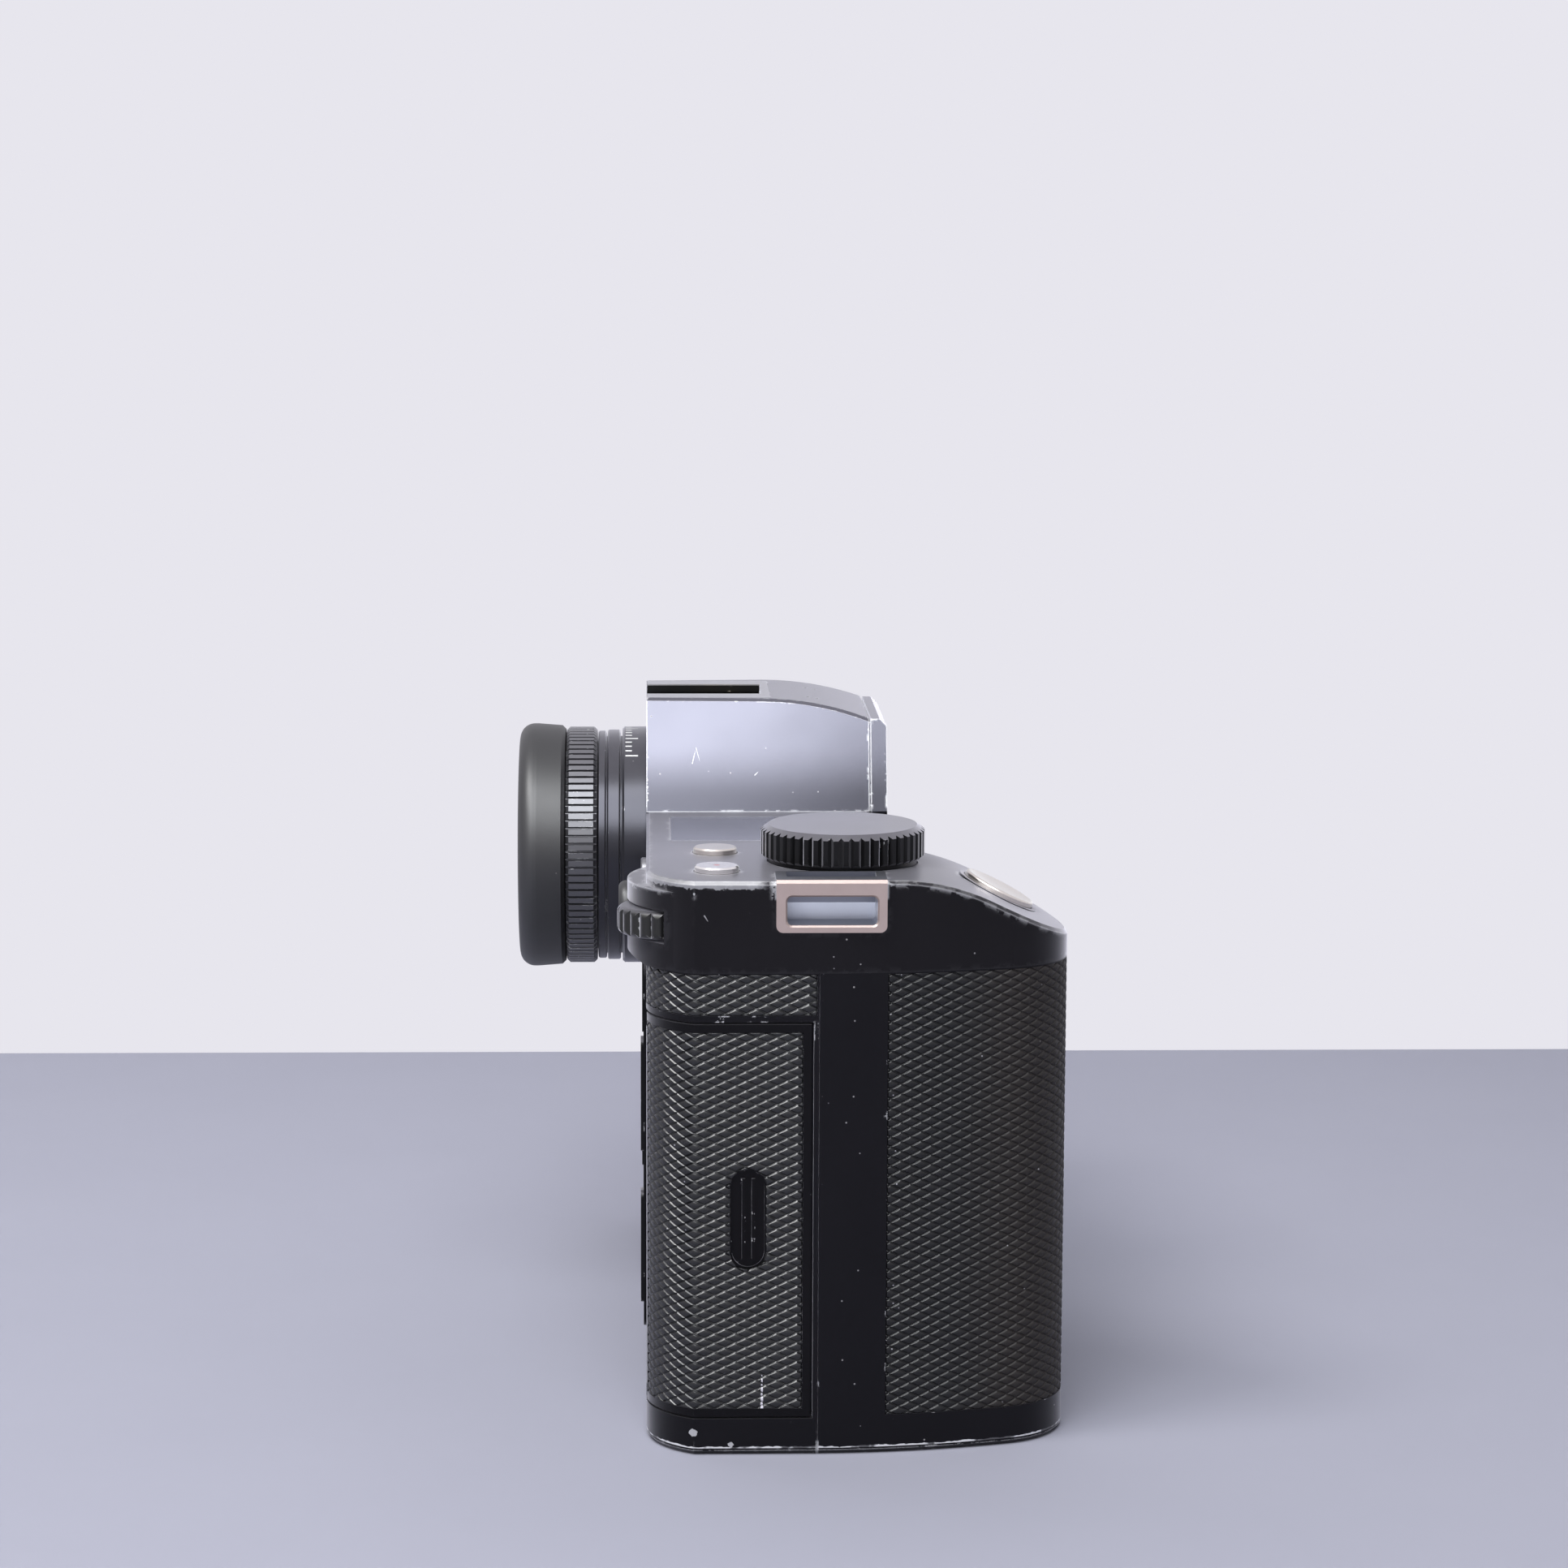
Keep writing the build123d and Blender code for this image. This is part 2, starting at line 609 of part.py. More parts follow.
def strap_lug(side):
    """A steel lug with a way from the end face to the top."""
    end = -GRIP_END if side < 0 else FAR_END
    face_x = end + side * LUG_PROUD
    body = lower_rounded(lug_body(side, 0))
    crest = edges_where(body, lambda p: abs(p.X - face_x) < 0.01 and p.Z > SHOULDER)
    body = chamfer(crest, LUG_BREAK)
    inner = end - side * (LUG_PLATE + LUG_TOP_SLOT)
    lip = end - side * LUG_PLATE
    low, high = LUG_SLOT_Z
    way = rounded_block(*sorted((end + side, inner)), *LUG_SLOT, low, high, LUG_SLOT_ROUND, Axis.X)
    body -= way
    mouth = [wire for face in body.faces() if abs(face.center().X - face_x) < 0.01
             for wire in face.inner_wires()]
    body = chamfer(mouth[0].edges(), LUG_SLOT_BREAK)
    rise = block(*sorted((lip, inner)), *LUG_SLOT, low + 1, SHOULDER + 1)
    ramp_width = LUG_SLOT_HEIGHT / 2
    ramp = front_prism([(inner, low), (inner + side * ramp_width, low), (inner, low + ramp_width)], *LUG_SLOT)
    return body - rise + ramp


def bulge():
    """The thickening of the rear wall round the thumb wheel."""
    wall_y = REAR_Y - WALL / 2
    out_y = REAR_Y + BULGE_REACH
    start = (-GRIP_END + BULGE_START[0], REAR_Y - BULGE_START[1])
    peak = (-GRIP_END + BULGE_PEAK, out_y)
    end = (BULGE_END_X, REAR_Y)
    near = TangentArc(peak, start, tangent=(-1, 0))
    far = TangentArc(peak, end, tangent=(1, 0))
    inside = (start[0] + WALL, start[1] - WALL / 2)
    close = Polyline(end, (BULGE_END_X, wall_y), (peak[0], wall_y), inside, start)
    low, high = BULGE_SPAN
    solid = Pos(0, 0, low) * extrude(closed_face(near, far, close), amount=high - low)
    slant = make_face(Polyline((REAR_Y, low - 1), (out_y + 1, low - 1), (out_y + 1, low + BULGE_SLANT),
                               (REAR_Y, low), close=True))
    return solid - side_prism(slant, -GRIP_END - 5, BULGE_END_X + 5)


def slope_place():
    """Where the shutter button stands, square to the slope of the grip's top."""
    angle = math.radians(SLOPE_ANGLE)
    bend_end = SLOPE_START_DEPTH + SLOPE_RADIUS * math.sin(angle)
    bend_fall = SLOPE_RADIUS * (1 - math.cos(angle))
    height = SHOULDER - bend_fall - (SHUTTER_DEPTH - bend_end) * math.tan(angle)
    return Pos(SHUTTER_X, REAR_Y - SHUTTER_DEPTH, height) * Rot(SLOPE_ANGLE, 0, 0)


ON_SLOPE = slope_place()
AXLE_SPAN = (WHEEL_SPAN[0] - 2.0, WHEEL_SPAN[1] + 1.8)
COLLAR_OUTER = SHUTTER_RADIUS + BUTTON_GAP + COLLAR_WIDTH


def plate_block():
    """The top plate's outer form, with its upper rims broken."""
    outer = slab(0, BAND_BOTTOM, SHOULDER) - slope_cut(0)

    def on_top(edge):
        box = edge.bounding_box()
        flat = box.size.Z < 1 or box.center().X < -MOUNT_BOSS_RADIUS
        crosswise = box.size.Y < 0.01 and box.center().Y < REAR_Y - 20 and box.center().X < -50
        return box.min.Z > BAND_BOTTOM + 1 and flat and not crosswise

    return chamfer([edge for edge in outer.edges() if on_top(edge)], EDGE_BREAK)


def button_wells():
    """Round wells for the two buttons behind the dial, with their stems' holes."""
    room_low = SHOULDER - TOP_THICK - STEM_HEAD - BUTTON_TRAVEL - LOOSE_GAP
    wells = []
    for x in BUTTON_XS:
        wells.append(rod_z(x, BUTTON_DEPTH, SHOULDER - BUTTON_SEAT, SHOULDER + 1,
                           BUTTON_RADIUS + BUTTON_GAP))
        wells.append(rod_z(x, BUTTON_DEPTH, SHOULDER - 5, SHOULDER, STEM_RADIUS + BUTTON_GAP))
        wells.append(rod_z(x, BUTTON_DEPTH, room_low, SHOULDER - TOP_THICK,
                           STEM_RADIUS + STEM_CLIP + LOOSE_GAP))
    return wells


def top_plate():
    """The top cover: plate, band, wheel housing, bulge, and the seats of what stands in it."""
    under = SHOULDER - TOP_THICK
    solid = plate_block() - (slab(WALL, BAND_BOTTOM - 1, under) - slope_cut(TOP_THICK))
    housing = rod_z(WHEEL_X, WHEEL_DEPTH, BULGE_SPAN[0] + 0.5, under + 0.2, WHEEL_RADIUS + WHEEL_GAP + 1.8)
    solid += housing & slab(0.5, BAND_BOTTOM, SHOULDER)
    boss = STICK_WELL + 1.2
    solid += block(STICK_X - boss, STICK_X + boss, 0.5, WALL + 2, BAND_BOTTOM, under + 0.2)
    solid += bulge()
    for side in (-1, 1):
        solid += lug_body(side, LUG_WALL) & slab(0.5, BAND_BOTTOM, SHOULDER - 0.5)
        solid -= lug_seat(side)
    solid -= rod_z(WHEEL_X, WHEEL_DEPTH, WHEEL_SPAN[0] - WHEEL_GAP, WHEEL_SPAN[1] + WHEEL_GAP,
                   WHEEL_RADIUS + WHEEL_GAP)
    solid -= rod_z(WHEEL_X, WHEEL_DEPTH, *AXLE_SPAN, WHEEL_AXLE)
    solid -= rod_y(STICK_X, STICK_Z, -BULGE_REACH - 1, WALL + 0.9, STICK_WELL)
    solid -= rod_z(DIAL_X, DIAL_DEPTH, SHOULDER - 5, SHOULDER + 1, DIAL_SHAFT + FIT_GAP)
    solid -= rod_z(DIAL_X, DIAL_DEPTH, SHOULDER - DIAL_RECESS, SHOULDER + 1, DIAL_SKIRT + BUTTON_GAP)
    for well in button_wells():
        solid -= well
    solid -= ON_SLOPE * Pos(0, 0, 1 - COLLAR_SEAT / 2) * Cylinder(COLLAR_OUTER, COLLAR_SEAT + 2)
    solid -= ON_SLOPE * Pos(0, 0, -TOP_THICK) * Cylinder(STEM_RADIUS + BUTTON_GAP, 3 * TOP_THICK)
    solid -= block(*DISPLAY_X, *DISPLAY_DEPTHS, SHOULDER - DISPLAY_THICK, SHOULDER + 1)
    hump_way = HUMP_TOP_REAR + HUMP_WALL
    solid -= block(-hump_way, hump_way, WALL, BODY_DEPTH - WALL, under - 1, SHOULDER + 1)
    solid -= eye_rod(-1, WALL + 1, EYE_TUBE)
    solid -= rod_y(EYE_BUTTON_X, EYE_BUTTON_Z, -1, 1.4, EYE_BUTTON_RADIUS + BUTTON_GAP)
    solid -= rod_y(EYE_BUTTON_X, EYE_BUTTON_Z, 0, WALL + 1, STEM_RADIUS + BUTTON_GAP)
    solid -= rod_y(LEVER_X, LEVER_Z, -1, WALL + 1, STEM_RADIUS + FIT_GAP)
    return solid - rod_y(LAMP_X, LAMP_Z, BODY_DEPTH - LAMP_DEEP, BODY_DEPTH + 1, LAMP_RADIUS)


def hump_block(inset, top, d0, d1):
    """The hump's tapered block, lofted from its rear section to its front one."""
    def section(base, crest, depth):
        lean = (base - crest) / (TOTAL_HEIGHT - SHOULDER)
        low = SHOULDER if inset == 0 else SHOULDER - 1
        low_half = base - inset + lean * (SHOULDER - low)
        top_half = crest + lean * (TOTAL_HEIGHT - top) - inset
        corners = ((-low_half, low), (low_half, low), (top_half, top), (-top_half, top))
        return make_face(Polyline(*[(x, REAR_Y - depth, z) for x, z in corners], close=True))

    return loft([section(HUMP_BASE_REAR, HUMP_TOP_REAR, d0),
                 section(HUMP_BASE_FRONT, HUMP_TOP_FRONT, d1)], ruled=True)


def viewfinder_cover():
    """The hollow hump, with its crest falling to the front and the shoe's seat on top."""
    outer = hump_block(0, TOTAL_HEIGHT, 0, BODY_DEPTH)
    start = (REAR_Y - HUMP_FLAT_DEPTH, TOTAL_HEIGHT)
    fall = JernArc(start, (-1, 0), HUMP_FALL_RADIUS, HUMP_FALL_TURN)
    above = TOTAL_HEIGHT + 5
    over = Polyline(fall @ 1, ((fall @ 1).X, above), (start[0], above), start)
    outer -= side_prism(closed_face(fall, over), -FAR_OUT, FAR_OUT)
    crest = TOTAL_HEIGHT - FACE_PLATE_DROP - 1.5
    rims = [edge for edge in outer.edges() if edge.center().Z > crest and edge.bounding_box().size.Y > 5]
    outer = chamfer(rims, EDGE_BREAK)
    solid = outer - hump_block(HUMP_WALL, HUMP_INNER_TOP, HUMP_WALL + 0.8, BODY_DEPTH - HUMP_WALL)
    solid -= eye_rod(-1, WALL + 1, EYE_TUBE)
    for x in (-SOUND_HOLE_X, SOUND_HOLE_X):
        for depth in SOUND_HOLE_DEPTHS:
            solid -= rod_z(x, depth, TOTAL_HEIGHT - SOUND_HOLE_DEEP, TOTAL_HEIGHT, SOUND_HOLE_RADIUS)
    half = SHOE_WIDTH / 2
    return solid - block(-half, half, -1, SHOE_LENGTH, SHOE_FLOOR_Z - SHOE_FLOOR, TOTAL_HEIGHT + 1)


def hump_front_plate():
    """The bare plate on the hump's front, standing off by a fine groove."""
    def outline(inset):
        base = HUMP_BASE_FRONT - 0.3 - inset
        lean = (HUMP_BASE_FRONT - HUMP_TOP_FRONT) / (TOTAL_HEIGHT - SHOULDER)
        top = FACE_PLATE_TOP - inset
        crest = base - lean * (top - SHOULDER)
        low = FACE_PLATE_LOW + inset
        return ((-base, low), (base, low), (base, SHOULDER), (crest, top), (-crest, top), (-base, SHOULDER))

    groove = BODY_DEPTH + FACE_PLATE_GAP
    back = front_prism(outline(0.5), BODY_DEPTH, groove)
    plate = front_prism(outline(0), groove, FACE_PLATE_DEPTH)
    face_y = REAR_Y - FACE_PLATE_DEPTH
    crest = edges_where(plate, lambda p: p.Z > FACE_PLATE_TOP - 0.1 and p.Y < face_y + 0.1)
    plate = chamfer(crest, FACE_PLATE_BREAK)
    return plate + back - lens_rod(BODY_DEPTH - 1, FLANGE_DEPTH + 1, MOUNT_BOSS_RADIUS + BUTTON_GAP)


def hot_shoe():
    """A pressed shoe: floor, channel and two rails, open at the rear."""
    half = SHOE_WIDTH / 2
    channel_half = SHOE_CHANNEL / 2
    rail_half = SHOE_RAIL_GAP / 2
    stop = SHOE_LENGTH - SHOE_STOP
    body = block(-half, half, 0.1, SHOE_LENGTH, SHOE_FLOOR_Z - SHOE_FLOOR, TOTAL_HEIGHT)
    channel = block(-channel_half, channel_half, -1, stop, SHOE_FLOOR_Z, TOTAL_HEIGHT - SHOE_RAIL)
    return body - channel - block(-rail_half, rail_half, -1, stop, SHOE_FLOOR_Z, TOTAL_HEIGHT + 1)


def shoe_contacts():
    """The insulated plate with its contacts, lying on the shoe's floor."""
    z0 = SHOE_FLOOR_Z
    z1 = z0 + SHOE_PLATE_THICK
    half = SHOE_RAIL_GAP / 2 - BUTTON_GAP
    middle = SHOE_LENGTH / 2
    solid = block(-half, half, middle + SHOE_PLATE_SPAN[0], middle + SHOE_PLATE_SPAN[1], z0, z1)
    solid += rod_z(0, middle, z1, z1 + 0.2, SHOE_CENTRE_RADIUS)
    pad = SHOE_CONTACT_WIDTH / 2
    pad_depths = [middle + reach for reach in SHOE_CONTACT_SPAN]
    for i in range(SHOE_CONTACTS):
        x = (i - (SHOE_CONTACTS - 1) / 2) * SHOE_CONTACT_PITCH
        solid += block(x - pad, x + pad, *pad_depths, z1, z1 + 0.15)
    return solid


def rear_and_front_shells():
    """The two halves of the body, split along the seam."""
    outer = slab(0, 0, BAND_BOTTOM)
    outer = chamfer(edges_where(outer, lambda p: p.Z < 0.01), FOOT_BREAK)
    body = outer - slab(WALL, BASE_THICK, BAND_BOTTOM + 1) - slab(BASE_INSET, -1, BASE_THICK)
    rear = body & block(-FAR_OUT, FAR_OUT, -5, SEAM_DEPTH - SEAM_GAP / 2, -1, BAND_BOTTOM + 1)
    front = body & block(-FAR_OUT, FAR_OUT, SEAM_DEPTH + SEAM_GAP / 2, FAR_OUT, -1, BAND_BOTTOM + 1)
    return rear, front


def door_zone(grow):
    """The card door's range along the end face and round the corner."""
    return block(-GRIP_END - 3, DOOR_PIN_X + 0.001, -6, DOOR_FRONT + grow,
                 DOOR_Z[0] - grow, DOOR_Z[1] + grow)


def strip_zone():
    """The leather strip above the card door."""
    front = SEAM_DEPTH - SEAM_GAP / 2 - SKIN_MARGIN
    return block(-GRIP_END - 3, -STRIP_WRAP, -6, front, STRIP_BOTTOM, BAND_BOTTOM - SKIN_MARGIN)


def grip_zone():
    """The leather round the grip, clear of the lens boss and the release button."""
    zone = block(-GRIP_END - 3, -GRIP_SKIN_INNER_X, GRIP_SKIN_DEPTH, FAR_OUT, SKIN_BOTTOM,
                 BAND_BOTTOM - SKIN_MARGIN)
    zone -= lens_rod(BODY_DEPTH - WALL, FLANGE_DEPTH, MOUNT_BOSS_RADIUS)
    return zone - rod_y(RELEASE_X, RELEASE_Z, BODY_DEPTH - WALL, FLANGE_DEPTH, RELEASE_RADIUS + RELEASE_RIM)


def far_zone():
    """The leather at the far end, in front of the port doors."""
    zone = block(GRIP_SKIN_INNER_X + 1, FAR_END + 3, PORT_DEPTHS[1] + 2.2, BODY_DEPTH + 4, SKIN_BOTTOM,
                 BAND_BOTTOM - SKIN_MARGIN)
    return zone - lens_rod(BODY_DEPTH - WALL, FLANGE_DEPTH, MOUNT_BOSS_RADIUS)


def skin_in(zone):
    """The leather that fills a zone."""
    return skin(0, SKIN, SKIN_BOTTOM - 3, BAND_BOTTOM + 1) & zone


def skin_seat(zone):
    """What a leather needs cut from the shell under it."""
    return skin(-3, SKIN, SKIN_BOTTOM - 3, BAND_BOTTOM + 1) & zone


def port_flap(span):
    """A door at the far end, hinged on a pin at its rear edge."""
    z0, z1 = span
    pin_depth = PORT_DEPTHS[0] + PORT_THICK
    pin_x = FAR_END - PORT_THICK
    plate = block(pin_x, FAR_END, pin_depth, PORT_DEPTHS[1], z0, z1)
    front_y = REAR_Y - PORT_DEPTHS[1]
    plate = fillet([edge for edge in plate.edges().filter_by(Axis.X) if edge.center().Y < front_y + 0.1], 2.0)
    knuckle = rod_z(pin_x, pin_depth, z0, z1, PORT_THICK)
    notch = block(FAR_END - 0.7, FAR_END + 1, PORT_DEPTHS[1] - 2.6, PORT_DEPTHS[1] - 1.4, z0 + 8, z1 - 8)
    pin = rod_z(pin_x, pin_depth, z0 - PORT_PIN_REACH, z1 + PORT_PIN_REACH, PORT_PIN)
    return plate + knuckle + pin - notch


def port_room(span):
    """The space that a port door and its pin need in the end wall."""
    z0, z1 = span[0] - DOOR_GAP, span[1] + DOOR_GAP
    pin_depth = PORT_DEPTHS[0] + PORT_THICK
    pin_x = FAR_END - PORT_THICK
    room = block(pin_x - DOOR_GAP, FAR_END + 1, pin_depth, PORT_DEPTHS[1] + DOOR_GAP, z0, z1)
    room += rod_z(pin_x, pin_depth, z0, z1, PORT_THICK + DOOR_GAP)
    room += block(pin_x, FAR_END + 1, pin_depth - PORT_THICK - DOOR_GAP, pin_depth, z0, z1)
    reach = PORT_PIN_REACH + 0.3
    return room + rod_z(pin_x, pin_depth, span[0] - reach, span[1] + reach, PORT_PIN + FIT_GAP)


def door_skin_zone():
    """The leather let into the card door."""
    low, high = DOOR_Z
    zone = block(-GRIP_END - 3, DOOR_PIN_X - DOOR_SKIN_MARGIN, -6, DOOR_FRONT - DOOR_SKIN_MARGIN,
                 low + DOOR_SKIN_MARGIN, high - DOOR_SKIN_MARGIN)
    return skin(0, SKIN, low, high) & zone


def finger_pocket(grow):
    """The thumb recess in the door, round-ended and upright."""
    middle = (FINGER_DEPTHS[0] + FINGER_DEPTHS[1]) / 2
    round_end = (FINGER_DEPTHS[1] - FINGER_DEPTHS[0]) / 2
    radius = round_end + grow
    low = FINGER_Z[0] + round_end
    high = FINGER_Z[1] - round_end
    xs = (-GRIP_END - 1, -GRIP_END + FINGER_CUT)
    upright = block(*xs, middle - radius, middle + radius, low, high)
    return upright + rod_x(*xs, middle, low, radius) + rod_x(*xs, middle, high, radius)


def finger_ridges():
    """Two upright ridges in the recess that the thumb pushes against."""
    ridges = []
    for share in (0.36, 0.66):
        depth = FINGER_DEPTHS[0] + share * (FINGER_DEPTHS[1] - FINGER_DEPTHS[0])
        ridges.append(block(-GRIP_END + 0.35, -GRIP_END + FINGER_CUT + 0.1, depth - 0.25, depth + 0.25,
                            FINGER_Z[0] + 1.2, FINGER_Z[1] - 1.2))
    return ridges


def card_door():
    """The door: end face and corner in one, hinged on a knuckle inside the corner."""
    low, high = DOOR_Z
    knuckle_low, knuckle_high = low + DOOR_EAR_SPAN, high - DOOR_EAR_SPAN
    solid = skin(0, DOOR_THICK, low, high) & door_zone(0)
    for span in ((low - 1, knuckle_low), (knuckle_high, high + 1)):
        solid -= rod_z(DOOR_PIN_X, DOOR_PIN_DEPTH, *span, DOOR_KNUCKLE + 0.3)
    solid += rod_z(DOOR_PIN_X, DOOR_PIN_DEPTH, knuckle_low, knuckle_high, DOOR_KNUCKLE)
    solid -= rod_z(DOOR_PIN_X, DOOR_PIN_DEPTH, 0, BAND_BOTTOM, DOOR_PIN + FIT_GAP)
    solid = solid - door_skin_zone() - finger_pocket(0)
    for ridge in finger_ridges():
        solid += ridge
    return solid


def card_door_slide():
    """The bar that carries the hinge pin, and slides rearwards with the door."""
    low, high = DOOR_Z[0] + 0.5, DOOR_Z[1] - 0.5
    bar_front = DOOR_PIN_DEPTH + DOOR_KNUCKLE + DOOR_GAP
    solid = block(DOOR_PIN_X - DOOR_KNUCKLE, DOOR_PIN_X + DOOR_KNUCKLE, bar_front, bar_front + DOOR_BAR,
                  low, high)
    for span in ((low, low + DOOR_EAR_SPAN - 0.7), (high - DOOR_EAR_SPAN + 0.7, high)):
        solid += block(DOOR_PIN_X - DOOR_EAR, DOOR_PIN_X + DOOR_EAR, DOOR_PIN_DEPTH, bar_front + 0.1, *span)
        solid += rod_z(DOOR_PIN_X, DOOR_PIN_DEPTH, *span, DOOR_EAR)
    return solid + rod_z(DOOR_PIN_X, DOOR_PIN_DEPTH, low + 0.5, high - 0.5, DOOR_PIN)


def door_room():
    """What the closed door, its knuckle and its slide need in the rear shell."""
    low, high = DOOR_Z[0] - DOOR_GAP, DOOR_Z[1] + DOOR_GAP
    room = skin(-2, DOOR_THICK + DOOR_GAP, low, high) & door_zone(DOOR_GAP)
    way = DOOR_KNUCKLE + DOOR_GAP
    return room + block(DOOR_PIN_X - way, DOOR_PIN_X + way, -2, WALL + 1, low, high)


def panel_outline(d0, d1):
    """The rear panel, cut round the eyepiece."""
    panel = rounded_block(-PANEL_X, PANEL_X, d0, d1, *PANEL_Z, PANEL_ROUND, Axis.Y)
    return panel - eye_rod(-5, 10, EYE_FLANGE_RADIUS + 0.6)


def display_module(gap):
    """The thicker part of the display, which passes through the rear wall."""
    half = GLASS_X - GLASS_LEDGE + gap
    return block(-half, half, 0.5, MODULE_DEPTH, GLASS_Z[0] + GLASS_LEDGE - gap,
                 GLASS_Z[1] - GLASS_LEDGE + gap)


def bar_centres():
    """The places of the four bar buttons, beside the display."""
    return [(side * BAR_X, top - BAR_LENGTH / 2) for side in (-1, 1) for top in BAR_TOPS]


def bar_solid(x, z, grow, d0, d1):
    """A rounded upright bar."""
    half = BAR_WIDTH / 2 + grow
    tall = BAR_LENGTH / 2 + grow
    return rounded_block(x - half, x + half, d0, d1, z - tall, z + tall, 1.2, Axis.Y)


def battery_cut(grow):
    """The battery's footprint through the base."""
    return rounded_block(BATTERY_X[0] - grow, BATTERY_X[1] + grow, BATTERY_DEPTHS[0] - grow,
                         BATTERY_DEPTHS[1] + grow, -1, BATTERY_TOP + grow, BATTERY_ROUND + grow, Axis.Z)


def lock_pin(d0, d1, gap):
    """The lens lock's pin, or the hole for it."""
    angle = math.radians(LOCK_PIN_ANGLE)
    x = MOUNT_SCREW_CIRCLE * math.cos(angle)
    return rod_y(x, LENS_Z + MOUNT_SCREW_CIRCLE * math.sin(angle), d0, d1, LOCK_PIN_RADIUS + gap)


def clip_stem(x, z, start):
    """A stem that goes through the rear wall, with the clip that holds it."""
    stem = rod_y(x, z, start, WALL + 0.1, STEM_RADIUS)
    return stem + rod_y(x, z, WALL + 0.1, WALL + 0.1 + STEM_HEAD, STEM_RADIUS + STEM_CLIP)


# Rear shell: card door, leather strip, rear panel, eyepiece, ports
rear_shell, front_shell = rear_and_front_shells()
rear_shell -= door_room()
rear_shell -= skin_seat(strip_zone())
rear_shell -= block(-GRIP_END, -GRIP_END + WALL + 1, *CARD_BAY_DEPTHS, *CARD_BAY_Z)
rear_shell -= panel_outline(-1, PANEL_SEAT)
rear_shell -= display_module(BUTTON_GAP)
rear_shell -= eye_rod(-1, WALL + 1, EYE_TUBE)
for bar_x, bar_z in bar_centres():
    rear_shell -= rod_y(bar_x, bar_z, 0, WALL + 1, STEM_RADIUS + BUTTON_GAP)
for port_span in PORT_SPANS:
    rear_shell -= port_room(port_span)
    front_shell -= port_room(port_span)
rear_shell -= block(FAR_END - WALL - 1, FAR_END, *PORT_WINDOW_DEPTHS, *PORT_WINDOW_Z)
save(rear_shell, "rear_shell")

# Front shell: mount boss, throat, grip leather, release button
boss = lens_rod(BODY_DEPTH - 1, BODY_DEPTH + MOUNT_BOSS_HEIGHT, MOUNT_BOSS_RADIUS)
front_shell += boss & block(-FAR_OUT, FAR_OUT, 0, FAR_OUT, WALL, BAND_BOTTOM)
front_shell -= lens_rod(BODY_DEPTH, FLANGE_DEPTH + 1, MOUNT_OUTER)
front_shell -= lens_rod(BODY_DEPTH - WALL - 1, FLANGE_DEPTH, MOUNT_BORE)
front_shell -= skin_seat(grip_zone())
front_shell -= skin_seat(far_zone())
front_shell -= rod_y(RELEASE_X, RELEASE_Z, BODY_DEPTH - WALL - 1, FLANGE_DEPTH, RELEASE_RADIUS + BUTTON_GAP)
front_shell -= lock_pin(BODY_DEPTH - WALL - 1, FLANGE_DEPTH, FIT_GAP)
save(front_shell, "front_shell")

save(top_plate(), "top_plate")
save(viewfinder_cover(), "viewfinder_cover")
save(hump_front_plate(), "hump_front_plate")
save(hot_shoe(), "hot_shoe")
save(shoe_contacts(), "shoe_contacts")
save(skin_in(strip_zone()), "end_leather")
save(skin_in(grip_zone()), "grip_leather")
save(skin_in(far_zone()), "far_leather")
save(card_door(), "card_door")
save(door_skin_zone() - finger_pocket(0.001), "card_door_leather")
save(card_door_slide(), "card_door_slide")
save(as_one([strap_lug(-1), strap_lug(1)]), "strap_lugs")

# Card sockets, a moulding that fills the window behind the door
mouth_x = -GRIP_END + DOOR_THICK + DOOR_GAP + 0.6
sockets = block(mouth_x, mouth_x + CARD_LENGTH + 2, *CARD_BAY_DEPTHS, *CARD_BAY_Z)
bay_depth = (CARD_BAY_DEPTHS[0] + CARD_BAY_DEPTHS[1]) / 2
bay_z = (CARD_BAY_Z[0] + CARD_BAY_Z[1]) / 2
card_tall, card_thick = CARD_SLOT
for sign in (-0.5, 0.5):
    slot_depth = bay_depth + sign * CARD_PITCH
    sockets -= block(mouth_x - 1, mouth_x + CARD_LENGTH, slot_depth - card_thick / 2,
                     slot_depth + card_thick / 2, bay_z - card_tall / 2, bay_z + card_tall / 2)
save(sockets, "card_sockets")


def thumb_wheel():
    """The lobed wheel, rounded over at both rims and bored for its axle."""
    face = lobed_face(WHEEL_LOBES, WHEEL_RADIUS, WHEEL_RADIUS - WHEEL_CUT)
    disc = Pos(0, 0, WHEEL_HEIGHT / 2) * Cylinder(WHEEL_RADIUS, WHEEL_HEIGHT)
    wheel = extrude(face, amount=WHEEL_HEIGHT) & fillet(disc.edges().filter_by(GeomType.CIRCLE), WHEEL_ROUND)
    placed = Pos(WHEEL_X, REAR_Y - WHEEL_DEPTH, WHEEL_SPAN[0]) * wheel
    return placed - rod_z(WHEEL_X, WHEEL_DEPTH, *AXLE_SPAN, WHEEL_AXLE + FIT_GAP)


save(thumb_wheel(), "thumb_wheel")
save(rod_z(WHEEL_X, WHEEL_DEPTH, *AXLE_SPAN, WHEEL_AXLE), "thumb_wheel_axle")


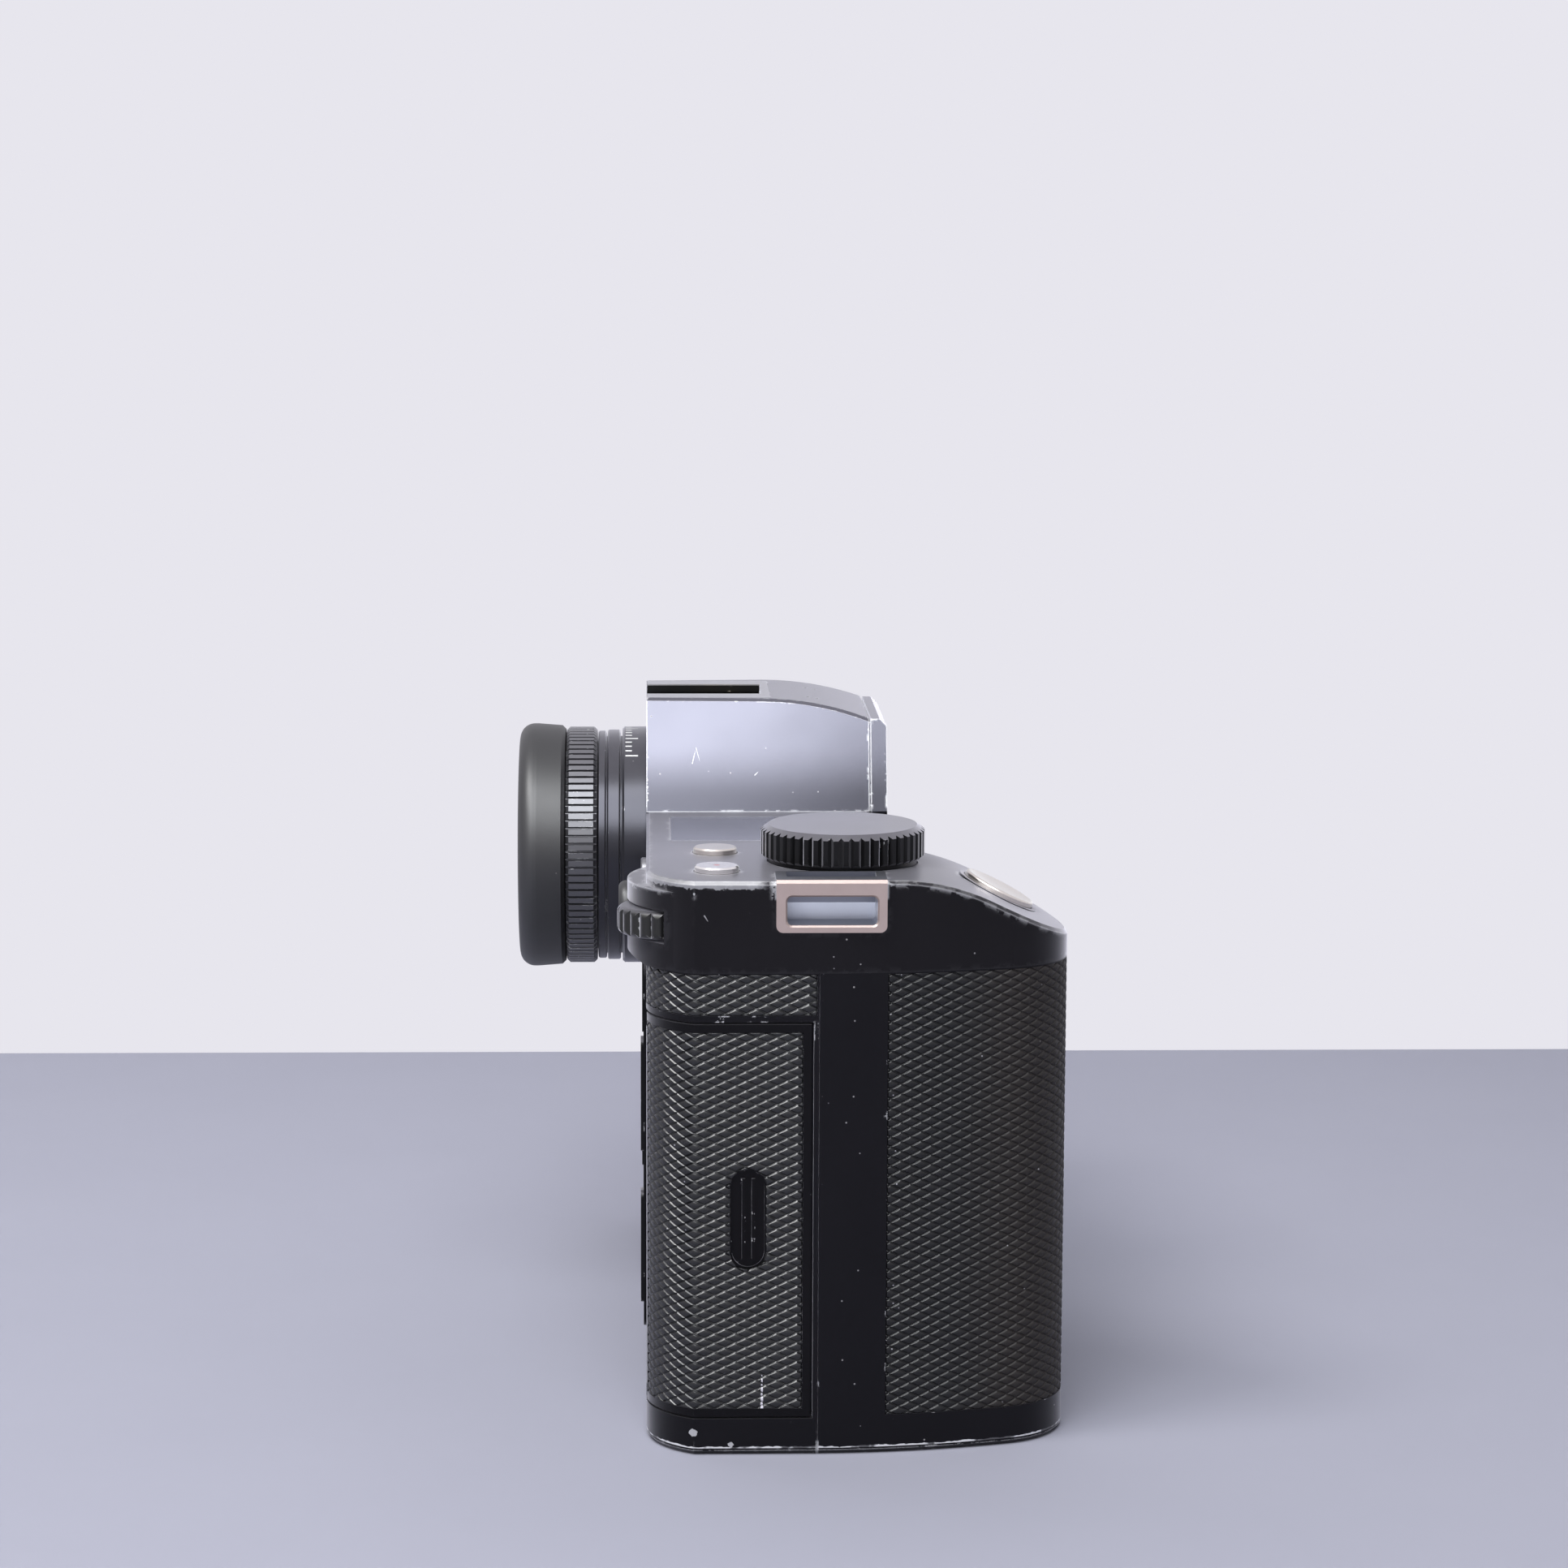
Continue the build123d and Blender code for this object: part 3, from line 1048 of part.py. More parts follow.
def thumb_stick():
    """The dished cap on a stem, cross-bored for the gimbal's upright pin."""
    rear_y = REAR_Y - STICK_REAR
    cap = rod_y(STICK_X, STICK_Z, STICK_REAR, STICK_REAR + STICK_CAP_THICK, STICK_CAP)
    cap = fillet(edges_where(cap, lambda p: abs(p.Y - rear_y) < 0.01), STICK_CAP_ROUND)
    cap -= Pos(STICK_X, rear_y + STICK_DISH - STICK_DISH_DEEP, STICK_Z) * Sphere(STICK_DISH)
    solid = cap + rod_y(STICK_X, STICK_Z, STICK_REAR + 1, STICK_PIVOT_DEPTH + 0.5, STICK_STEM)
    return solid - rod_z(STICK_X, STICK_PIVOT_DEPTH, STICK_Z - 2, STICK_Z + 2, GIMBAL_PIN + FIT_GAP)


def thumb_stick_gimbal():
    """A ring with an upright pin through the stem and two side pins in the plunger's ears."""
    d0, d1 = STICK_PIVOT_DEPTH - GIMBAL_THICK / 2, STICK_PIVOT_DEPTH + GIMBAL_THICK / 2
    ring = rod_y(STICK_X, STICK_Z, d0, d1, GIMBAL_RADIUS) - rod_y(STICK_X, STICK_Z, 0, 2, GIMBAL_BORE)
    inside = GIMBAL_RADIUS - 0.4
    ring += rod_z(STICK_X, STICK_PIVOT_DEPTH, STICK_Z - inside, STICK_Z + inside, GIMBAL_PIN)
    for side in (-1, 1):
        xs = sorted((STICK_X + side * inside, STICK_X + side * (PLUNGER_RADIUS - 0.2)))
        ring += rod_x(*xs, STICK_PIVOT_DEPTH, STICK_Z, GIMBAL_PIN)
    return ring


def thumb_stick_plunger():
    """The disc that is pressed inwards, with two ears that carry the gimbal."""
    low = STICK_PIVOT_DEPTH + 1
    solid = rod_y(STICK_X, STICK_Z, low, low + PLUNGER_THICK, PLUNGER_RADIUS)
    ears = rod_y(STICK_X, STICK_Z, STICK_PIVOT_DEPTH - 0.6, low + 0.1, PLUNGER_RADIUS)
    ears -= rod_y(STICK_X, STICK_Z, 0, low + 0.2, GIMBAL_RADIUS + 0.5)
    solid += ears & block(STICK_X - 6, STICK_X + 6, 0, 4, STICK_Z - 1.3, STICK_Z + 1.3)
    return solid - rod_x(STICK_X - 6, STICK_X + 6, STICK_PIVOT_DEPTH, STICK_Z, GIMBAL_PIN + FIT_GAP)


save(thumb_stick(), "thumb_stick")
save(thumb_stick_gimbal(), "thumb_stick_gimbal")
save(thumb_stick_plunger(), "thumb_stick_plunger")


def top_dial():
    """The dial: grooved rim, broken top edge, skirt in its recess and shaft through the plate."""
    low = SHOULDER + DIAL_LIFT
    high = low + DIAL_HEIGHT
    face = ribbed_face(DIAL_GROOVE_COUNT, DIAL_RADIUS, DIAL_RADIUS - DIAL_CUT, 0.45, 0.02)
    profile = make_face(Polyline((0, low), (DIAL_RADIUS - 0.5, low), (DIAL_RADIUS, low + 0.4),
                                 (DIAL_RADIUS, high - DIAL_BREAK + 0.35), (DIAL_RADIUS - DIAL_BREAK, high),
                                 (0, high), close=True))
    disc = Pos(0, 0, low) * extrude(face, amount=DIAL_HEIGHT) & revolve(Plane.XZ * profile, Axis.Z)
    solid = Pos(DIAL_X, REAR_Y - DIAL_DEPTH, 0) * disc
    solid += rod_z(DIAL_X, DIAL_DEPTH, SHOULDER - 4.5, low + 0.5, DIAL_SHAFT)
    return solid + rod_z(DIAL_X, DIAL_DEPTH, SHOULDER - DIAL_RECESS + 0.2, low + 0.1, DIAL_SKIRT)


def top_button(x):
    """A round button with its stem and the head that keeps it in."""
    seat = BUTTON_SEAT - BUTTON_TRAVEL - 0.1
    cap = Pos(0, 0, (BUTTON_PROUD - seat) / 2) * Cylinder(BUTTON_RADIUS, BUTTON_PROUD + seat)
    cap = chamfer(edges_where(cap, lambda p: p.Z > BUTTON_PROUD - 0.01), 0.25)
    stem = Pos(0, 0, 0.1 - seat - STEM_LENGTH / 2) * Cylinder(STEM_RADIUS, STEM_LENGTH + 0.2)
    head = Pos(0, 0, -TOP_THICK - 0.1 - STEM_HEAD / 2) * Cylinder(STEM_RADIUS + STEM_CLIP, STEM_HEAD)
    return Pos(x, REAR_Y - BUTTON_DEPTH, SHOULDER) * (cap + stem + head)


def shutter_button():
    """The dished release button on its stem."""
    cap = Pos(0, 0, SHUTTER_PROUD / 2) * Cylinder(SHUTTER_RADIUS, SHUTTER_PROUD)
    cap = fillet(edges_where(cap, lambda p: p.Z > SHUTTER_PROUD - 0.01), SHUTTER_ROUND)
    cap -= Pos(0, 0, SHUTTER_PROUD + SHUTTER_DISH - SHUTTER_DISH_DEEP) * Sphere(SHUTTER_DISH)
    stem = Pos(0, 0, (0.1 - SHUTTER_STEM) / 2) * Cylinder(STEM_RADIUS, SHUTTER_STEM + 0.1)
    return ON_SLOPE * (cap + stem)


def shutter_collar():
    """The ring that the button sits in, square to the slope."""
    collar = Pos(0, 0, (COLLAR_PROUD - COLLAR_SEAT) / 2) * Cylinder(COLLAR_OUTER, COLLAR_PROUD + COLLAR_SEAT)
    collar = chamfer(edges_where(collar, lambda p: p.Z > COLLAR_PROUD - 0.01), COLLAR_PROUD * 2 / 3)
    return ON_SLOPE * (collar - Cylinder(SHUTTER_RADIUS + BUTTON_GAP, 3 * COLLAR_SEAT))


save(top_dial(), "top_dial")
for button_x, name in zip(BUTTON_XS, ("top_function_button", "video_button")):
    save(top_button(button_x), name)
save(shutter_collar(), "shutter_collar")
save(shutter_button(), "shutter_button")
save(block(*DISPLAY_X, *DISPLAY_DEPTHS, SHOULDER - DISPLAY_THICK, SHOULDER), "top_display")
save(rod_y(LAMP_X, LAMP_Z, BODY_DEPTH - LAMP_DEEP, BODY_DEPTH, LAMP_RADIUS), "focus_lamp")


def eyepiece_barrel():
    """The flange against the body and two rings on a sleeve round the tube."""
    flange = eye_rod(EYE_FLANGE_REAR, 0, EYE_FLANGE_RADIUS)
    rear_y = REAR_Y - EYE_FLANGE_REAR
    solid = chamfer(edges_where(flange, lambda p: p.Y > rear_y - 0.01), 0.35)
    for span, radius in ((RING_TWO, RING_TWO_RADIUS), (RING_ONE, RING_ONE_RADIUS)):
        solid += chamfer(eye_rod(*span, radius).edges(), RING_BREAK)
    solid += eye_rod(RING_ONE[0] + RING_GAP, EYE_FLANGE_REAR, EYE_TUBE + 2.4)
    return solid - eye_rod(-20, 10, EYE_TUBE)


def turned(profile_points, rear):
    """A piece turned on the eyepiece's axis from (radius, length) points, length from its rear."""
    return Pos(0, REAR_Y - rear, EYE_Z) * Rot(90, 0, 0) * revolve(Plane.XZ * profile_points, Axis.Z)


def dioptre_ring():
    """The knurled ring: ribs cut along its length, both rims broken."""
    bore = EYE_TUBE + FIT_GAP
    crest = KNURL_RADIUS - KNURL_BREAK
    profile = make_face(Polyline((bore, 0), (crest, 0), (KNURL_RADIUS, KNURL_BREAK),
                                 (KNURL_RADIUS, KNURL_LENGTH - KNURL_BREAK), (crest, KNURL_LENGTH),
                                 (bore, KNURL_LENGTH), close=True))
    ribs = extrude(ribbed_face(KNURL_RIB_COUNT, KNURL_RADIUS, KNURL_RADIUS - KNURL_CUT, 0.68, 0.1),
                   amount=KNURL_LENGTH)
    ring = ribs & revolve(Plane.XZ * profile, Axis.Z)
    return Pos(0, REAR_Y - KNURL_SPAN[0], EYE_Z) * Rot(90, 0, 0) * ring


def eyecup():
    """The rubber cup, rounded at the rear, with a seat for the tube's end."""
    front_radius = CUP_RADIUS - CUP_TAPER
    seat = CUP_LENGTH - EYE_TUBE_SEAT
    profile = make_face(Polyline((CUP_OPENING, 0), (CUP_RADIUS, 0), (CUP_RADIUS, 3.0),
                                 (front_radius, CUP_LENGTH - 0.6), (front_radius - 0.6, CUP_LENGTH),
                                 (EYE_TUBE, CUP_LENGTH), (EYE_TUBE, seat), (CUP_OPENING, seat), close=True))
    profile = fillet([corner for corner in profile.vertices() if corner.Y < 0.01], CUP_ROUND)
    return turned(profile, CUP_SPAN[0])


def viewfinder_module():
    """The finder's closed unit, standing under the hump and clear of the sensor block."""
    low = LENS_Z + SENSOR_BLOCK_UP + 1.5
    front = WALL + 1.2
    upper = block(-MODULE_X, MODULE_X, front, MODULE_FRONT, low, HUMP_INNER_TOP - 0.4)
    lower = block(-MODULE_X, MODULE_X, front, MODULE_FRONT, low, SHOULDER - 0.8)
    return (upper & hump_block(HUMP_WALL + 0.4, TOTAL_HEIGHT, 0, BODY_DEPTH)) + lower


save(eye_rod(EYE_TUBE_REAR, WALL + 1, EYE_TUBE) - eye_rod(-20, 10, EYE_TUBE_INNER), "eyepiece_tube")
save(eyepiece_barrel(), "eyepiece_barrel")
save(dioptre_ring(), "dioptre_ring")
save(eyecup(), "eyecup")
cell = eye_rod(*LENS_CELL_SPAN, EYE_TUBE_INNER - LENS_CELL_GAP)
save(cell - eye_rod(-20, 10, LENS_RADIUS), "eyepiece_lens_cell")
glass = eye_rod(LENS_CELL_SPAN[0] + 0.3, LENS_CELL_SPAN[1] - 0.8, LENS_RADIUS)
dome = Pos(0, REAR_Y - LENS_CELL_SPAN[0] - 0.3 - LENS_DOME, EYE_Z) * Sphere(LENS_DOME)
save(glass & dome, "eyepiece_lens")
save(viewfinder_module(), "viewfinder_module")

# Rear panel with display, four bars, eyepiece button and power lever
panel = panel_outline(-PANEL_PROUD, PANEL_SEAT)
panel -= block(-GLASS_X, GLASS_X, -1, PANEL_SEAT + 1, *GLASS_Z)
for bar_x, bar_z in bar_centres():
    panel -= bar_solid(bar_x, bar_z, BUTTON_GAP, -1, PANEL_SEAT + 1)
save(panel, "rear_panel")
display = block(-GLASS_X, GLASS_X, -PANEL_PROUD - 0.05, PANEL_SEAT, *GLASS_Z)
save(display + display_module(0), "rear_display")
bar_names = [f"{side}_{row}_bar_button" for side in ("right", "left") for row in ("upper", "lower")]
for (bar_x, bar_z), name in zip(bar_centres(), bar_names):
    bar_front = PANEL_SEAT - BAR_TRAVEL - 0.1
    bar = bar_solid(bar_x, bar_z, 0, -PANEL_PROUD - BAR_PROUD, bar_front)
    save(bar + clip_stem(bar_x, bar_z, bar_front - 0.1), name)
button = rod_y(EYE_BUTTON_X, EYE_BUTTON_Z, -EYE_BUTTON_PROUD, 0.7, EYE_BUTTON_RADIUS)
button = chamfer(edges_where(button, lambda p: p.Y > REAR_Y), 0.25)
save(button + clip_stem(EYE_BUTTON_X, EYE_BUTTON_Z, 0.6), "eyepiece_button")
lever_span = (-LEVER_THICK - 0.25, -0.25)
lever_half = LEVER_WIDTH / 2
lever_tip = LEVER_X + LEVER_REACH - lever_half
lever = rod_y(LEVER_X, LEVER_Z, *lever_span, LEVER_RADIUS)
lever += block(LEVER_X, lever_tip, *lever_span, LEVER_Z - lever_half, LEVER_Z + lever_half)
lever += rod_y(lever_tip, LEVER_Z, *lever_span, lever_half)
save(lever + clip_stem(LEVER_X, LEVER_Z, -1), "power_lever")


def bayonet_tabs():
    """The inward tabs that a lens's claws pass between and lock behind."""
    d1 = FLANGE_DEPTH - BAYONET_TAB_SET
    d0 = d1 - BAYONET_TAB_THICK
    lip = lens_rod(d0, d1, MOUNT_BORE + 0.2) - lens_rod(d0 - 1, d1 + 1, BAYONET_INNER)
    half = BAYONET_TAB_ANGLE / 2
    tabs = []
    for i in range(BAYONET_TABS):
        middle = 90 + i * 360 / BAYONET_TABS
        wedge = [(0, LENS_Z)]
        for turn in (-half, 0, half):
            angle = math.radians(middle + turn)
            wedge.append((2 * MOUNT_BORE * math.cos(angle), LENS_Z + 2 * MOUNT_BORE * math.sin(angle)))
        tabs.append(lip & front_prism(wedge, d0, d1))
    return tabs


def mount_screw_places():
    """The centres of the mount's screws."""
    places = []
    for i in range(MOUNT_SCREWS):
        angle = math.radians(45 + i * 360 / MOUNT_SCREWS)
        places.append((MOUNT_SCREW_CIRCLE * math.cos(angle), LENS_Z + MOUNT_SCREW_CIRCLE * math.sin(angle)))
    return places


def lens_mount_ring():
    """The steel bayonet ring with its tabs, screw seats and the lock pin's hole."""
    ring = lens_rod(BODY_DEPTH, FLANGE_DEPTH, MOUNT_OUTER)
    front_y = REAR_Y - FLANGE_DEPTH
    ring = chamfer(edges_where(ring, lambda p: p.Y < front_y + 0.01), 0.3)
    ring -= lens_rod(BODY_DEPTH - 1, FLANGE_DEPTH + 1, MOUNT_BORE)
    for tab in bayonet_tabs():
        ring += tab
    for x, z in mount_screw_places():
        ring -= rod_y(x, z, FLANGE_DEPTH - MOUNT_SCREW_SEAT, FLANGE_DEPTH + 1, MOUNT_SCREW_RADIUS)
    return ring - lock_pin(BODY_DEPTH - 1, FLANGE_DEPTH + 1, FIT_GAP)


def mount_screw(x, z):
    """A cross-head screw's head, just under the flange face."""
    top = FLANGE_DEPTH - 0.1
    slot = top - 0.5
    head = rod_y(x, z, FLANGE_DEPTH - MOUNT_SCREW_SEAT, top, MOUNT_SCREW_RADIUS)
    for wide, tall in ((0.9, 0.22), (0.22, 0.9)):
        head -= block(x - wide, x + wide, slot, FLANGE_DEPTH, z - tall, z + tall)
    return head


def light_chamber():
    """The dark box between the mount and the shutter."""
    floor = CHAMBER_REAR_DEPTH + CHAMBER_WALL
    solid = lens_rod(CHAMBER_REAR_DEPTH, BODY_DEPTH - WALL, CHAMBER_OUTER)
    solid -= lens_rod(floor, BODY_DEPTH, MOUNT_BORE)
    half_x, half_z = SENSOR_X / 2 + 1.5, SENSOR_Z / 2 + 1.5
    return solid - block(-half_x, half_x, CHAMBER_REAR_DEPTH - 1, floor + 1, LENS_Z - half_z, LENS_Z + half_z)


def lens_contacts():
    """The contact block at the foot of the throat, with a row of pins."""
    front = BODY_DEPTH + 0.6
    inside = MOUNT_BORE - 0.15
    zone = lens_rod(CHAMBER_REAR_DEPTH + CHAMBER_WALL, front, inside)
    solid = zone & block(-CONTACT_BLOCK_HALF, CONTACT_BLOCK_HALF, front - CONTACT_BLOCK_DEEP, front,
                         LENS_Z - MOUNT_BORE, LENS_Z - CONTACT_BLOCK_DROP)
    for i in range(CONTACT_COUNT):
        x = (i - (CONTACT_COUNT - 1) / 2) * CONTACT_PITCH
        solid += rod_y(x, LENS_Z - CONTACT_PINS_DROP, front, front + 0.3, CONTACT_PIN)
    return solid


def sensor_window(margin, d0, d1):
    """A window as large as the sensor and a margin."""
    half_x, half_z = SENSOR_X / 2 + margin, SENSOR_Z / 2 + margin
    return block(-half_x, half_x, d0, d1, LENS_Z - half_z, LENS_Z + half_z)


def sensor_block():
    """The stabilised sensor's unit on four standoffs, open towards the shutter."""
    low, high = LENS_Z - SENSOR_BLOCK_DOWN, LENS_Z + SENSOR_BLOCK_UP
    back = SENSOR_DEPTH - SENSOR_BLOCK_DEEP
    solid = block(-SENSOR_BLOCK_X, SENSOR_BLOCK_X, back, SENSOR_DEPTH + SENSOR_COVER, low, high)
    solid -= sensor_window(1.2, SENSOR_DEPTH, SENSOR_DEPTH + 3)
    for x in (3 - SENSOR_BLOCK_X, SENSOR_BLOCK_X - 3):
        for z in (low + 3, high - 3):
            solid += rod_y(x, z, back - STANDOFF, back, 2.0)
    return solid


save(lens_mount_ring(), "lens_mount_ring")
save(as_one([mount_screw(x, z) for x, z in mount_screw_places()]), "mount_screws")
save(lock_pin(BODY_DEPTH - WALL - 2, FLANGE_DEPTH + LOCK_PIN_PROUD, 0), "lens_lock_pin")
save(light_chamber(), "light_chamber")
save(lens_contacts(), "lens_contacts")
shutter = block(-SENSOR_BLOCK_X - 2, SENSOR_BLOCK_X + 2, SENSOR_DEPTH + SENSOR_COVER, CHAMBER_REAR_DEPTH,
                LENS_Z - SENSOR_BLOCK_DOWN - 1, LENS_Z + SENSOR_BLOCK_UP + 0.5)
save(shutter - sensor_window(0.5, 0, BODY_DEPTH), "shutter_frame")
save(sensor_block(), "sensor_block")
save(sensor_window(1.2, SENSOR_DEPTH, SENSOR_DEPTH + 0.9), "sensor_glass")
board_front = SENSOR_DEPTH - SENSOR_BLOCK_DEEP - STANDOFF
save(block(*BOARD_X, board_front - BOARD_THICK, board_front, *BOARD_Z), "main_board")

release = rod_y(RELEASE_X, RELEASE_Z, BODY_DEPTH - WALL - 0.1, BODY_DEPTH + RELEASE_PROUD, RELEASE_RADIUS)
release_y = REAR_Y - BODY_DEPTH - RELEASE_PROUD
release = fillet(edges_where(release, lambda p: p.Y < release_y + 0.01), RELEASE_ROUND)
release += rod_y(RELEASE_X, RELEASE_Z, BODY_DEPTH - WALL - 1, BODY_DEPTH - WALL - 0.1,
                 RELEASE_RADIUS + STEM_CLIP)
save(release, "lens_release_button")

# Far end: two doors and the panel with the sockets behind them
for port_span, name in zip(PORT_SPANS, ("lower_port_door", "upper_port_door")):
    save(port_flap(port_span), name)
port_mid = (PORT_WINDOW_DEPTHS[0] + PORT_WINDOW_DEPTHS[1]) / 2
panel_face = FAR_END - WALL + CONNECTOR_SEAT
panel_span = (panel_face - CONNECTOR_PANEL, panel_face)
through = (panel_span[0] - 1, panel_span[1] + 1)
port_panel = block(*panel_span, *PORT_WINDOW_DEPTHS, *PORT_WINDOW_Z)
port_tops = (PORT_WINDOW_Z[1] - WIDE_PORT_DROP, PORT_SPLIT - SMALL_PORT_DROP)
for (wide, tall), top in zip((WIDE_PORT, SMALL_PORT), port_tops):
    port_panel -= block(*through, port_mid - wide / 2, port_mid + wide / 2, top - tall, top)
port_panel -= rod_x(*through, port_mid, PORT_SPLIT - JACK_DROP, JACK_RADIUS)
save(port_panel, "connector_panel")


def base_plate():
    """The base, with ways for the tripod socket, the battery and its catch."""
    middle = (CATCH_DEPTHS[0] + CATCH_DEPTHS[1]) / 2
    half = CATCH_WIDTH / 2 + BUTTON_GAP
    solid = slab(BASE_INSET + SEAM_GAP / 2, 0, BASE_THICK)
    solid -= rod_z(0, REAR_TO_SOCKET, -1, BASE_THICK + 1, SOCKET_OUTER)
    solid -= battery_cut(LOOSE_GAP)
    solid -= rounded_block(CATCH_X - half, CATCH_X + half, CATCH_DEPTHS[0] - BUTTON_GAP,
                           CATCH_DEPTHS[1] + CATCH_TRAVEL + BUTTON_GAP, -1, CATCH_SEAT, 1.2, Axis.Z)
    slot = CATCH_STEM + 0.3
    return solid - rounded_block(CATCH_X - slot, CATCH_X + slot, middle - slot, middle + slot + CATCH_TRAVEL,
                                 0, BASE_THICK + 1, slot - 0.1, Axis.Z)


def battery_catch():
    """The sliding catch, ribbed for the fingertip and held by a stem and head."""
    half = CATCH_WIDTH / 2
    middle = (CATCH_DEPTHS[0] + CATCH_DEPTHS[1]) / 2
    solid = rounded_block(CATCH_X - half, CATCH_X + half, *CATCH_DEPTHS, 0.1, CATCH_SEAT - 0.1, 1.0, Axis.Z)
    for i in (-1, 0, 1):
        rib = middle + i * CATCH_WIDTH / 3
        solid -= block(CATCH_X - 1.4, CATCH_X + 1.4, rib - 0.35, rib + 0.35, 0, 0.4)
    solid += rod_z(CATCH_X, middle, CATCH_SEAT - 0.2, BASE_THICK + 0.1, CATCH_STEM)
    return solid + rod_z(CATCH_X, middle, BASE_THICK + 0.1, BASE_THICK + 0.1 + STEM_HEAD, CATCH_STEM + 1.1)


save(base_plate(), "base_plate")
save(battery_catch(), "battery_catch")
socket = rod_z(0, REAR_TO_SOCKET, 0, SOCKET_LENGTH + SOCKET_END, SOCKET_OUTER - 0.02)
save(socket - rod_z(0, REAR_TO_SOCKET, -1, SOCKET_LENGTH, SOCKET_RADIUS), "tripod_socket")
save(rounded_block(*BATTERY_X, *BATTERY_DEPTHS, BATTERY_LIFT, BATTERY_TOP, BATTERY_ROUND, Axis.Z), "battery")
side = LOOSE_GAP + CHAMBER_SIDE
chamber = rounded_block(BATTERY_X[0] - side, BATTERY_X[1] + side, BATTERY_DEPTHS[0] - side,
                        BATTERY_DEPTHS[1] + side, BASE_THICK, BATTERY_TOP + side, BATTERY_ROUND + side, Axis.Z)
save(chamber - battery_cut(LOOSE_GAP), "battery_chamber")
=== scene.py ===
import math

import bmesh
import bpy
from mathutils import Matrix, Vector


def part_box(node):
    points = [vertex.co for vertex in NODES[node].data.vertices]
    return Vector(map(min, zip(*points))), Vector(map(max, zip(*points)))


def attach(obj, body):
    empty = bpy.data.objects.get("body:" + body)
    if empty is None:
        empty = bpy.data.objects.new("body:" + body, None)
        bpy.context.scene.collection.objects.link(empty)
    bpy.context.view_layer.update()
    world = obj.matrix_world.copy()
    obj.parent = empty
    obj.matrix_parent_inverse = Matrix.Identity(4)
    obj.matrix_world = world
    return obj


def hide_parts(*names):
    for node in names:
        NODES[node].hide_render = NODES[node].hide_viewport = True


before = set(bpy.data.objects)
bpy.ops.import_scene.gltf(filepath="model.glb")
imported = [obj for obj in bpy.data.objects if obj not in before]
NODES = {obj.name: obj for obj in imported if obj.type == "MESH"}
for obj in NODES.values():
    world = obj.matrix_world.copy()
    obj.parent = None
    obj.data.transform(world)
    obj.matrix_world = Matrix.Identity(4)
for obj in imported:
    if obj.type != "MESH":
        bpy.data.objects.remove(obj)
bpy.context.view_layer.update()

MM = 0.001

# Places of the frame, in millimetres
GRIP_END = -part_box("rear_shell")[0].x / MM
FAR_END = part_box("rear_shell")[1].x / MM
REAR_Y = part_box("rear_shell")[1].y / MM
LENS_Z = 46.0
EYE_Z = 78.0

# The plan outline, as the body and its leathers follow it
OUTLINE_START_X = -40.0
REAR_CORNER = 11.4
CREASE_DEPTH = 7.0
REAR_CORNER_RADIUS = 12.78
GRIP_START_DEPTH = 24.0
GRIP_SIDE_RADIUS = 105.0
GRIP_SIDE_TURN = 16.7
GRIP_NOSE_RADIUS = 12.6
GRIP_INNER_HEADING = 80.0
GRIP_ROOT_RADIUS = 9.0
FRONT_DEPTH = 36.0
FAR_FRONT_RADIUS = 9.0

# The leather's diamonds
DIAMOND_WIDE = 3.05
DIAMOND_TALL = 1.44
GROOVE_DEEP = 0.20
SKIN = 0.68
# Each ring of a diamond: its scale, its share of the height, and how far the long corners draw in.
# The faces that rise to the facet ring are flat, and all others smooth.
DIAMOND_RINGS = ((1.0, 0.0, 1.0), (0.94, 0.05, 0.99), (0.72, 0.75, 0.97), (0.60, 0.97, 0.96))
FACET_RING = 2
# Cut diamonds below this area are left out, and points closer than this are joined
LEAST_CELL = 0.02
JOIN_WITHIN = 0.004

# The leathers' borders: places on the outline, in X or in depth, and what they leave room for
DOOR_START_X = -76.4
NEAR_SIDE_X = -80
END_STRIP_X = -85.5
NEAR_END_X = -85.9
PAST_CREASE = 0.001
FINGER_DEPTH = 15.0
FINGER_LOW = 31.0
FINGER_HIGH = 40.8
FINGER_RADIUS = 2.62
GRIP_LEATHER_DEPTH = 35.45
MOUNT_BOSS_RADIUS = 35.75
RELEASE_ROOM = 6.45
FAR_SIDE_X = 59
FAR_LEATHER_LAP = 3
LEATHER_STEP = 0.02

# The top plate's worn rims: their height, their fall along the slope, and the wear below and on them
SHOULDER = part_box("viewfinder_cover")[0].z / MM
RIM_LOW = SHOULDER - 2.6
RIM_FALL = 0.4
RIM_BLEND = 0.3
RIM_SHARES = (0.02, 0.75)

# The hump, in heights over the shoulder: where its edges begin to wear, and where painted shade darkens
# its sides
HUMP_WORN = (0.5, 1.0)
HUMP_PAINTED_SHADE = (1.5, 11.0)
# The swell of its sides, in metres, about the middle of their height
HUMP_HALF = 9.0
HUMP_MIDDLE = SHOULDER + HUMP_HALF
HUMP_SWELL = 0.0003

# The video button's dot
DOT_RADIUS = 0.45
DOT_RED = (0.45, 0.03, 0.02, 1)

# The worn band on the end face's upper edge, and the bare line at the foot
BAND_DEPTH = 18.0
BAND_TALL = 1.9
BAND_SHARE = 0.45
CORNER_BAND = 0.45
FOOT_WORN = (2.4, 1.8)
FOOT_EDGE = 1.2
FOOT_TALL = 0.5

# The size of the worn edges' gaps, and how bare the hot shoe's rails, the scratches and the chips are
WEAR_GRAIN = 0.7
RAIL_SHARE = 0.55
SCRATCH_SHARE = 0.5
MARK_SHARE = 0.7

# Where the top plate's film of dust and painted sheen begins and is full, from the grip's end
FILM_REACH = (4.0, 24.0)

# Where the grip's leather turns brown and dull, in depth, and the gloss of the leathers
BROWN_DEPTHS = (44, 56)
DULL_DEPTHS = (37, 56)
DOOR_GLOSS = 0.57
GRIP_GLOSS = 0.36

